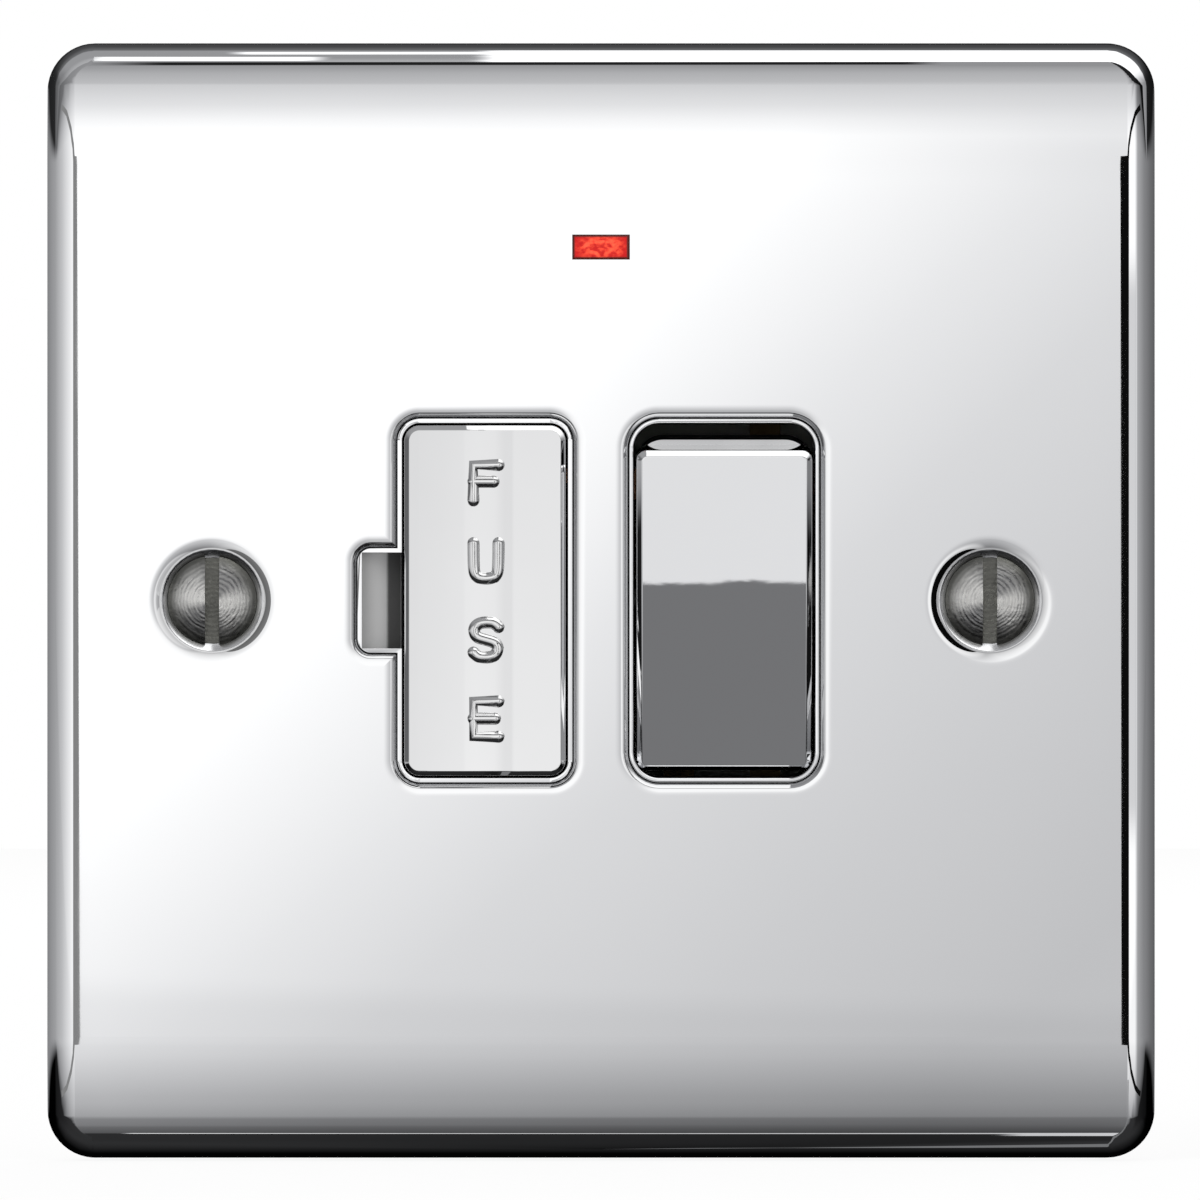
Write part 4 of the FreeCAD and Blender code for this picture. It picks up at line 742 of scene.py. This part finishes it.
@dataclass
class RaisedWord:
    """The raised word down the middle of the drawer front, in round bead strokes."""

    letters: str = "FUSE"
    centre_x: float = -8.91
    tops: tuple = (10.97, 4.92, -1.20, -7.33)
    width: float = 2.9
    height: float = 3.7
    bead: float = 0.48
    flattened: float = 0.62
    straight_points: int = 4
    front: float = 5.93

    def strokes(self, letter: str) -> list[list[tuple[float, float]]]:
        """Stroke lines of one letter in a box from 0 to 1, with Z up."""
        bends = {
            "F": [[(1, 1), (0, 1), (0, 0)], [(0, 0.53), (0.8, 0.53)]],
            "U": [[(0, 1), (0, 0.3), (0.06, 0.1), (0.26, 0), (0.74, 0), (0.94, 0.1), (1, 0.3), (1, 1)]],
            "S": [[(1, 0.86), (0.86, 0.97), (0.6, 1), (0.26, 0.98), (0.05, 0.87), (0.02, 0.7), (0.14, 0.57),
                   (0.5, 0.5), (0.86, 0.43), (0.98, 0.28), (0.94, 0.12), (0.74, 0.01), (0.4, 0), (0.14, 0.03),
                   (0, 0.14)]],
            "E": [[(1, 1), (0, 1), (0, 0), (1, 0)], [(0, 0.51), (0.86, 0.51)]],
        }
        return bends[letter]

    def build(self) -> None:
        """Makes each letter as one piece on the drawer."""
        for number, (letter, top) in enumerate(zip(self.letters, self.tops)):
            self.letter(f"word_letter_{number}_{letter}", letter, top)

    def letter(self, name: str, letter: str, top: float) -> bpy.types.Object:
        """Makes one letter as flattened tubes with round ends.

        Args:
            name: Piece name.
            letter: One of the letters.
            top: Height of its top in millimetres.

        Returns:
            The letter's object.
        """
        curve = bpy.data.curves.new(name, "CURVE")
        curve.dimensions = "3D"
        curve.bevel_depth = self.bead * MM
        curve.bevel_resolution = 4
        curve.use_fill_caps = True
        left = self.centre_x - self.width / 2 + self.bead
        foot = top - self.height + self.bead
        wide, tall = self.width - 2 * self.bead, self.height - 2 * self.bead
        for line in self.strokes(letter):
            spline = curve.splines.new("NURBS" if len(line) > self.straight_points else "POLY")
            spline.points.add(len(line) - 1)
            for point, (across, up) in zip(spline.points, line):
                point.co = ((left + across * wide) * MM, 0, (foot + up * tall) * MM, 1)
            spline.order_u = 3
            spline.use_endpoint_u = True
            spline.resolution_u = 5
        holder = bpy.data.objects.new(name + "_line", curve)
        bpy.context.scene.collection.objects.link(holder)
        piece = Piece(name)
        tube = bpy.data.meshes.new_from_object(holder.evaluated_get(bpy.context.evaluated_depsgraph_get()))
        piece.mesh.from_mesh(tube)
        bpy.data.objects.remove(holder)
        for line in self.strokes(letter):
            for across, up in (line[0], line[-1]):
                centre = Matrix.Translation(((left + across * wide) * MM, 0, (foot + up * tall) * MM))
                bmesh.ops.create_uvsphere(piece.mesh, u_segments=16, v_segments=10, radius=self.bead * MM,
                                          matrix=centre)
        bmesh.ops.scale(piece.mesh, vec=(1, self.flattened, 1), verts=piece.mesh.verts)
        bmesh.ops.translate(piece.mesh, vec=(0, -self.front * MM, 0), verts=piece.mesh.verts)
        return piece.finish(WORD_CHROME, Body.DRAWER, Slot.CAPS, 60)


@dataclass
class FixingScrews:
    """The two raised-head slotted screws in their dished seats, with all lengths in millimetres."""

    head: float = 3.46
    edge: float = 4.61
    rise: float = 0.85
    shank: float = 1.75
    length: float = 25.0
    slot: float = 1.1
    slot_depth: float = 1.0
    plain: float = 2.0
    taper: float = 0.4
    point: tuple = (0.8, 0.6)
    pitch: float = 0.6
    thread: float = 0.3
    ridge: float = 0.42
    bare_tip: float = 1.0
    sunk: float = 0.05
    steps: int = 48
    dome_steps: int = 8
    thread_steps: int = 20

    def outline(self) -> list[tuple[float, float]]:
        """Radius and depth of the head and plain shank, from the dome's top to the tip."""
        dome = (self.head ** 2 + self.rise ** 2) / (2 * self.rise)
        points = []
        for step in range(self.dome_steps + 1):
            angle = math.asin(self.head / dome) * step / self.dome_steps
            points.append((dome * math.sin(angle), -self.edge - self.rise + dome * (1 - math.cos(angle))))
        under = -self.edge + (self.head - self.shank)
        core = self.shank - self.thread
        tip = self.length - self.edge
        points += [(self.shank, under), (self.shank, under + self.plain)]
        points += [(core, under + self.plain + self.taper), (core, tip - self.point[0])]
        points += [(core - self.point[1], tip), (0, tip)]
        return points

    def head_and_core(self, name: str, sign: int) -> Piece:
        """Spins the outline into a closed solid."""
        piece = Piece(name)
        verts = [piece.mesh.verts.new((radius * MM, depth * MM, 0)) for radius, depth in self.outline()]
        edges = [piece.mesh.edges.new(pair) for pair in zip(verts, verts[1:])]
        bmesh.ops.spin(piece.mesh, geom=verts + edges, angle=math.tau, steps=self.steps, axis=(0, 1, 0),
                       cent=(0, 0, 0), use_merge=True, use_duplicate=False)
        bmesh.ops.translate(piece.mesh, vec=(sign * SCREW_X * MM, 0, 0), verts=piece.mesh.verts)
        return piece

    def build(self) -> None:
        """Makes both screws in place of their CAD nodes."""
        for name, sign in (("left", -1), ("right", 1)):
            self.screw(name, sign)
            self.thread_of(name, sign)

    def screw(self, side: str, sign: int) -> bpy.types.Object:
        """Makes one screw with its driver slot."""
        piece = self.head_and_core(f"screw_{side}", sign)
        made = piece.finish(HEAD_STEEL, Body.WALL_UNIT, Slot.SCREWS, 30)
        cutter = Piece(f"cutter_{side}")
        bmesh.ops.create_cube(cutter.mesh, size=1.0)
        bmesh.ops.scale(cutter.mesh, vec=(self.slot * MM, 2 * self.slot_depth * MM, 3 * self.head * MM),
                        verts=cutter.mesh.verts)
        middle = (sign * SCREW_X * MM, -(self.edge + self.rise) * MM, 0)
        bmesh.ops.translate(cutter.mesh, vec=middle, verts=cutter.mesh.verts)
        tool = cutter.finish(HEAD_STEEL, Body.WALL_UNIT, Slot.SCREWS)
        cut_with(made, tool)
        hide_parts(f"fixing_screw_{side}")
        return made

    def thread_of(self, side: str, sign: int) -> bpy.types.Object:
        """Winds the screw's thread as a ridge on its core."""
        piece = Piece(f"screw_thread_{side}")
        foot = self.shank - self.thread - self.sunk
        start = -self.edge + (self.head - self.shank) + self.plain + self.pitch
        half = self.pitch * self.ridge
        ridge = [(foot, start - half), (self.shank, start), (foot, start + half)]
        verts = [piece.mesh.verts.new((radius * MM, depth * MM, 0)) for radius, depth in ridge]
        edges = [piece.mesh.edges.new(pair) for pair in zip(verts, verts[1:] + verts[:1])]
        turns = int((self.length - self.edge - self.bare_tip - start) / self.pitch)
        climb = (0, self.pitch * MM / self.thread_steps, 0)
        bmesh.ops.spin(piece.mesh, geom=verts + edges, angle=math.tau * turns,
                       steps=self.thread_steps * turns, axis=(0, 1, 0), cent=(0, 0, 0), dvec=climb,
                       use_merge=False, use_duplicate=False)
        bmesh.ops.holes_fill(piece.mesh, edges=piece.mesh.edges, sides=3)
        bmesh.ops.translate(piece.mesh, vec=(sign * SCREW_X * MM, 0, 0), verts=piece.mesh.verts)
        return piece.finish(PLATED_STEEL, Body.WALL_UNIT, Slot.SCREWS, 50)


def cut_with(target: bpy.types.Object, tool: bpy.types.Object, sharp: float = 30.0) -> None:
    """Cuts one mesh object with another, then removes the cutter.

    Args:
        target: What is cut.
        tool: The cutter.
        sharp: Angle in degrees past which an edge of the target stays sharp.
    """
    cut = target.modifiers.new("cut", "BOOLEAN")
    cut.operation = "DIFFERENCE"
    cut.solver = "EXACT"
    cut.object = tool
    bpy.context.view_layer.update()
    made = bpy.data.meshes.new_from_object(target.evaluated_get(bpy.context.evaluated_depsgraph_get()))
    target.modifiers.clear()
    target.data = made
    made.shade_smooth()
    made.set_sharp_from_angle(angle=math.radians(sharp))
    bpy.data.objects.remove(tool)


@dataclass
class Studio:
    """Floor, soft light, the reflected room and the camera.

    The stops give light by an angle in degrees. What is called dark is the share of light taken away there.
    """

    distance: float = 1.2
    frame_width: float = 93.02
    plate_front: float = 5.0
    aim: tuple = (-0.08, 0.04)
    sensor: float = 36.0
    mirror: float = 0.92
    matt_share: float = 0.8
    floor_gap: float = 0.0002
    floor_size: float = 1.5
    card_away: float = 300.0
    card_bend: tuple = ((68, 72), (120, 96), (240, 128), (520, 175))
    card_outer: tuple = ((84, 0), (84, 48), (95, 66), (148, 90), (272, 122), (560, 168))
    cool: tuple = (0.968, 0.975, 1.01, 1)
    face_stops: tuple = ((-3.2, 1.1), (-0.9, 1.02), (0.1, 0.81), (0.8, 0.7), (2.0, 0.61), (3.2, 0.535))
    rise_stops: tuple = (
        (-40, 0.028), (-27.5, 0.03), (-24.5, 0.22), (-22, 0.32), (-18, 0.535), (-8, 0.79), (-1.6, 1.0),
        (9, 1.01), (13, 0.9), (18, 0.71), (21, 0.57), (25, 0.44), (27.5, 0.29), (40, 0.27),
    )
    turn_stops: tuple = (
        (-180, 0.2), (-130, 0.26), (-90, 0.34), (-55, 0.54), (-15, 0.88), (0, 1.0), (33, 1.0), (45, 0.39),
        (75, 0.235), (110, 0.155), (180, 0.08),
    )
    dusk: float = 0.08
    window_light: float = 1.05
    shelf_dark: float = 0.86
    gap_dark: float = 0.95
    below_dark: float = 0.97
    patch_dark: float = 0.36
    dark_card: float = 0.171
    pale_card: float = 0.74
    card_top: float = 12.7
    rocker_turn: tuple = (3.9, 7.0, 0.3)
    ripples: tuple = ((21.0, 0.06), (47.0, 0.05), (110.0, 0.08), (190.0, 0.06), (330.0, 0.04))

    def build(self) -> None:
        """Sets up everything that isn't part of the unit."""
        self.camera()
        self.world()
        self.floor()
        self.cards()
        self.lamps()
        bpy.context.scene.view_settings.view_transform = "Standard"

    def camera(self) -> None:
        """A long lens straight in front of the plate."""
        data = bpy.data.cameras.new("camera")
        data.sensor_width = self.sensor
        reach = self.distance - self.plate_front * MM
        data.lens = self.sensor * reach / (self.frame_width * MM)
        data.clip_start, data.clip_end = 0.05, 20
        item = bpy.data.objects.new("camera", data)
        item.location = (self.aim[0] * MM, -self.distance, self.aim[1] * MM)
        item.rotation_euler = (math.radians(90), 0, 0)
        bpy.context.scene.collection.objects.link(item)
        bpy.context.scene.camera = item

    def world(self) -> None:
        """White to the camera, even to plain surfaces, and a shaded room to bright metal."""
        world = bpy.data.worlds.new("studio")
        world.use_nodes = True
        bpy.context.scene.world = world
        tree = ShaderTree(world.node_tree)
        room = self.room(tree)
        path = tree.node("ShaderNodeLightPath")
        mirror = tree.wire(path, "Is Glossy Ray").math("MAXIMUM", tree.wire(path, "Is Transmission Ray"))
        mirror = mirror * (1 - tree.wire(path, "Is Camera Ray"))
        colour = tree.node("ShaderNodeMix", {"data_type": "RGBA"}, {0: mirror, 6: grey(1.0), 7: room})
        matt = tree.wire(path, "Is Diffuse Ray")
        inputs = {"Color": colour.outputs[2], "Strength": 1 - matt * (1 - self.matt_share)}
        background = tree.node("ShaderNodeBackground", {}, inputs)
        tree.node("ShaderNodeOutputWorld", {}, {"Surface": background.outputs[0]})

    def room(self, tree: ShaderTree) -> bpy.types.NodeSocket:
        """What bright metal mirrors: a soft white room that darkens below, at its sides and overhead."""
        look = tree.node("ShaderNodeTexCoord").outputs["Generated"]
        parts = tree.node("ShaderNodeSeparateXYZ", {}, {0: look})
        x, y, z = (tree.wire(parts, axis) for axis in "XYZ")
        rise = z.math("ARCTAN2", -y) * (180 / math.pi)
        turn = x.math("ARCTAN2", -y) * (180 / math.pi)
        face = self.across_face(turn, rise)
        lone = rise.step(4, 24).math("MAXIMUM", abs(turn).step(2.0, 3.2))
        face = face + (1 - face) * lone
        tall = 1 + (self.up_and_down(rise, x) - 1) * abs(z).step(0.03, 0.08)
        wide = 1 + (self.left_and_right(turn, z) - 1) * (1 - abs(z).step(0.3, 0.75))
        dusk = 1 - (-rise).step(1.52, 1.68) * (1 - (-rise).step(1.8, 7.5)) * self.dusk
        light = self.with_flag(face * tall * wide * dusk, turn, rise)
        inputs = {0: tree.blend(light, self.cool, grey(1.0)), "Scale": light / self.mirror}
        return tree.node("ShaderNodeVectorMath", {"operation": "SCALE"}, inputs).outputs[0]

    def across_face(self, turn: Wire, rise: Wire) -> Wire:
        """Light that the flat face mirrors, from its upper left to its lower right."""
        slope = turn.clamp(-1.96, 1.96) - rise.clamp(-1.9, 1.63)
        return slope.ramp(self.face_stops, -3.2, 3.2)

    def up_and_down(self, rise: Wire, x: Wire) -> Wire:
        """Relative light by the angle above or below the line of sight.

        Args:
            rise: The angle in degrees.
            x: How far to the side the light comes from, from -1 to 1.

        Returns:
            The light: the soft bands, the window above with its dark shelf and a thin line below.
        """
        light = rise.ramp(self.rise_stops, -40, 40)
        window = rise.step(37.2, 38.6) * (1 - rise.step(91.5, 97.5))
        shelf = (1 - x.step(-0.0085, -0.0065)) * (1 - rise.band(74, 86, 1.5) * x.step(-0.0245, -0.0225))
        strip = rise.band(44, 60, 2.0) * x.band(-0.032, -0.0195, 0.002)
        window = window * (1 - shelf * (1 - strip) * self.shelf_dark)
        gap = rise.band(28.8, 37.8, 0.8) * (1 - x.band(0.0225, 0.06, 0.003)) * x.step(-0.034, -0.028)
        above = 0.16 - rise.step(88, 125) * 0.1
        light = light * (1 - rise.step(38, 60)) + above * rise.step(38, 60)
        light = light * (1 - gap * self.gap_dark)
        line = rise.band(-27.35, -26.7, 0.15) * x.band(-0.0305, 0.0345, 0.001)
        light = light + window * self.window_light + line
        return light * (1 - (-rise).step(50, 120) * self.below_dark)

    def left_and_right(self, turn: Wire, z: Wire) -> Wire:
        """Relative light by the angle to the left or right of the line of sight."""
        patch = turn.band(6, 36, 2.0) * z.band(-0.013, 0.02, 0.004)
        return turn.ramp(self.turn_stops, -180, 180) * (1 - patch * self.patch_dark)

    def with_flag(self, light: Wire, turn: Wire, rise: Wire) -> Wire:
        """Adds what only the rocker mirrors: a dark card with a ragged upper edge, and a pale one over it."""
        wave = (turn * 9.0 + 0.6).math("SINE") * 0.12
        for pace, size in self.ripples:
            wave = wave + (turn * pace + pace).math("SINE") * size
        beside = turn.band(*self.rocker_turn)
        dark = (-rise - self.card_top + wave).step(0, 0.1) * beside
        pale = beside * (1 - rise.step(-1.5, -0.5)) * rise.step(-40, -38)
        light = light * (1 - pale) + pale * self.pale_card
        return light * (1 - dark) + dark * self.dark_card

    def floor(self) -> None:
        """A plain pale floor just under the unit."""
        mesh = bmesh.new()
        bmesh.ops.create_grid(mesh, x_segments=1, y_segments=1, size=self.floor_size)
        item = self.stand("floor", mesh, PaleFloor())
        item.location = (0, 0, CAD_BOX[0].z - self.floor_gap)
        item.visible_glossy = False

    def cards(self) -> None:
        """Narrow upright cards beside the lens, black right and grey left, for the side edges."""
        for name, side, start, level in (("right", 1, 50.5, 0.004), ("left", -1, 50.85, 0.24)):
            inner = ((start, 0), (start, 54), *self.card_bend)
            mesh = bmesh.new()
            for up in (1, -1):
                lines = [[(side * x * MM, -self.card_away * MM, up * z * MM) for x, z in line]
                         for line in (inner, self.card_outer)]
                near, far = ([mesh.verts.new(place) for place in line] for line in lines)
                for step in range(len(near) - 1):
                    mesh.faces.new((near[step], far[step], far[step + 1], near[step + 1]))
            item = self.stand(f"card_{name}", mesh, Card(f"card_{name}", level))
            for kind in ("camera", "diffuse", "transmission", "volume_scatter", "shadow"):
                setattr(item, f"visible_{kind}", False)

    @staticmethod
    def stand(name: str, mesh: bmesh.types.BMesh, finish: Finish) -> bpy.types.Object:
        """Puts a mesh in the studio.

        Args:
            name: Name of the object and its mesh.
            mesh: The form, freed here.
            finish: Its look.

        Returns:
            The object.
        """
        data = bpy.data.meshes.new(name)
        mesh.to_mesh(data)
        mesh.free()
        item = bpy.data.objects.new(name, data)
        bpy.context.scene.collection.objects.link(item)
        data.materials.append(finish.material())
        return item

    def lamps(self) -> None:
        """A soft key from the upper left, a fill from the right and one behind, all unseen in metal."""
        for name, place, size, power in (
            ("key", (-0.7, -1.0, 0.9), 0.8, 9.0),
            ("fill", (0.9, -0.8, 0.3), 0.8, 4.0),
            ("back", (0.3, 1.0, 0.8), 0.8, 5.0),
        ):
            data = bpy.data.lights.new(name, "AREA")
            data.energy = power
            data.size = size
            item = bpy.data.objects.new(name, data)
            item.location = place
            item.rotation_euler = (-Vector(place)).to_track_quat("-Z", "Y").to_euler()
            item.visible_glossy = False
            bpy.context.scene.collection.objects.link(item)


@dataclass(frozen=True)
class Card(Finish):
    """Evenly lit card of the studio, at one level of light."""

    name: str = "card"
    level: float = 0.0

    def build(self, tree: ShaderTree) -> bpy.types.NodeSocket:
        """Plain light of the card's grey."""
        inputs = {"Color": grey(1.0), "Strength": self.level}
        return tree.node("ShaderNodeEmission", {}, inputs).outputs[0]


@dataclass(frozen=True)
class PaleFloor(Finish):
    """Floor: white to the camera, matt pale paint to all other light."""

    name: str = "pale_floor"

    def build(self, tree: ShaderTree) -> bpy.types.NodeSocket:
        """Mixes paint and plain white by the kind of ray."""
        path = tree.node("ShaderNodeLightPath")
        seen = tree.wire(path, "Is Camera Ray")
        for kind in ("Is Glossy Ray", "Is Transmission Ray"):
            seen = seen.math("MAXIMUM", tree.wire(path, kind))
        fleck = tree.noise(0.004, 2.0)
        inputs = {"Base Color": tree.blend(fleck, grey(0.84), grey(0.88)), "Roughness": 0.8}
        paint = tree.node("ShaderNodeBsdfPrincipled", {}, inputs)
        white = tree.node("ShaderNodeEmission", {}, {"Color": grey(1.0), "Strength": 1.0})
        inputs = {0: seen * 0.9, 1: paint.outputs[0], 2: white.outputs[0]}
        return tree.node("ShaderNodeMixShader", {}, inputs).outputs[0]


@dataclass
class CadDressing:
    """Finishes of the CAD nodes that show as they are."""

    poles: tuple = ("live", "neutral")
    rows: tuple = ("supply", "load")

    def plan(self) -> dict[str, Finish]:
        """Finish of each node."""
        finishes: dict[str, Finish] = {
            "front_plate": PLATE_CHROME,
            "fuse_cap": CAP_CHROME,
            "rocker_cap": ROCKER_CHROME,
            "fuse_bezel": NOTCH_CHROME,
            "rocker_bezel": RING_CHROME,
            "front_moulding": BLACK,
            "rocker_body": SKIRT_CHROME,
            "fuse_tray": BLACK,
            "rear_housing": WHITE,
            "housing_screws": PLATED_STEEL,
            "earth_strap": BRASS,
            "fuse_clip_upper": COPPER,
            "fuse_clip_lower": COPPER,
            "fuse_end_upper": NICKEL,
            "fuse_end_lower": NICKEL,
            "fuse_barrel": CERAMIC,
            "neon_lens": RED_LENS,
            "neon_lamp": LAMP_GLASS,
            "neon_resistor": COATING,
            "fixing_screw_left": TURNED_STEEL,
            "fixing_screw_right": TURNED_STEEL,
        }
        for pole in self.poles:
            finishes[f"neon_lead_{pole}"] = TINNED
            finishes[f"plunger_{pole}"] = NYLON
            finishes[f"plunger_spring_{pole}"] = PLATED_STEEL
            finishes[f"contact_arm_{pole}"] = COPPER
            finishes[f"contact_saddle_{pole}"] = DULL_BRASS
            finishes[f"fixed_contact_{pole}"] = DULL_BRASS
        for row in self.rows:
            for pole in (*self.poles, "earth"):
                finishes[f"{row}_{pole}_terminal"] = BRASS
                finishes[f"{row}_{pole}_screw"] = PLATED_STEEL
        return finishes

    def build(self) -> None:
        """Dresses every CAD node."""
        plan = self.plan()
        missing = set(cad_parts) - set(plan)
        if missing:
            raise KeyError(f"no finish for {sorted(missing)}")
        for node, finish in plan.items():
            dress(node, finish)
        logger.info("dressed %d CAD nodes", len(plan))


def main() -> None:
    """Builds the looks in order."""
    logging.basicConfig(level=logging.INFO, format="%(name)s: %(message)s")
    dressing = CadDressing()
    dressing.build()
    SoftenedFronts().build(dressing.plan())
    RaisedWord().build()
    FixingScrews().build()
    Studio().build()


if __name__ == "__main__":
    main()
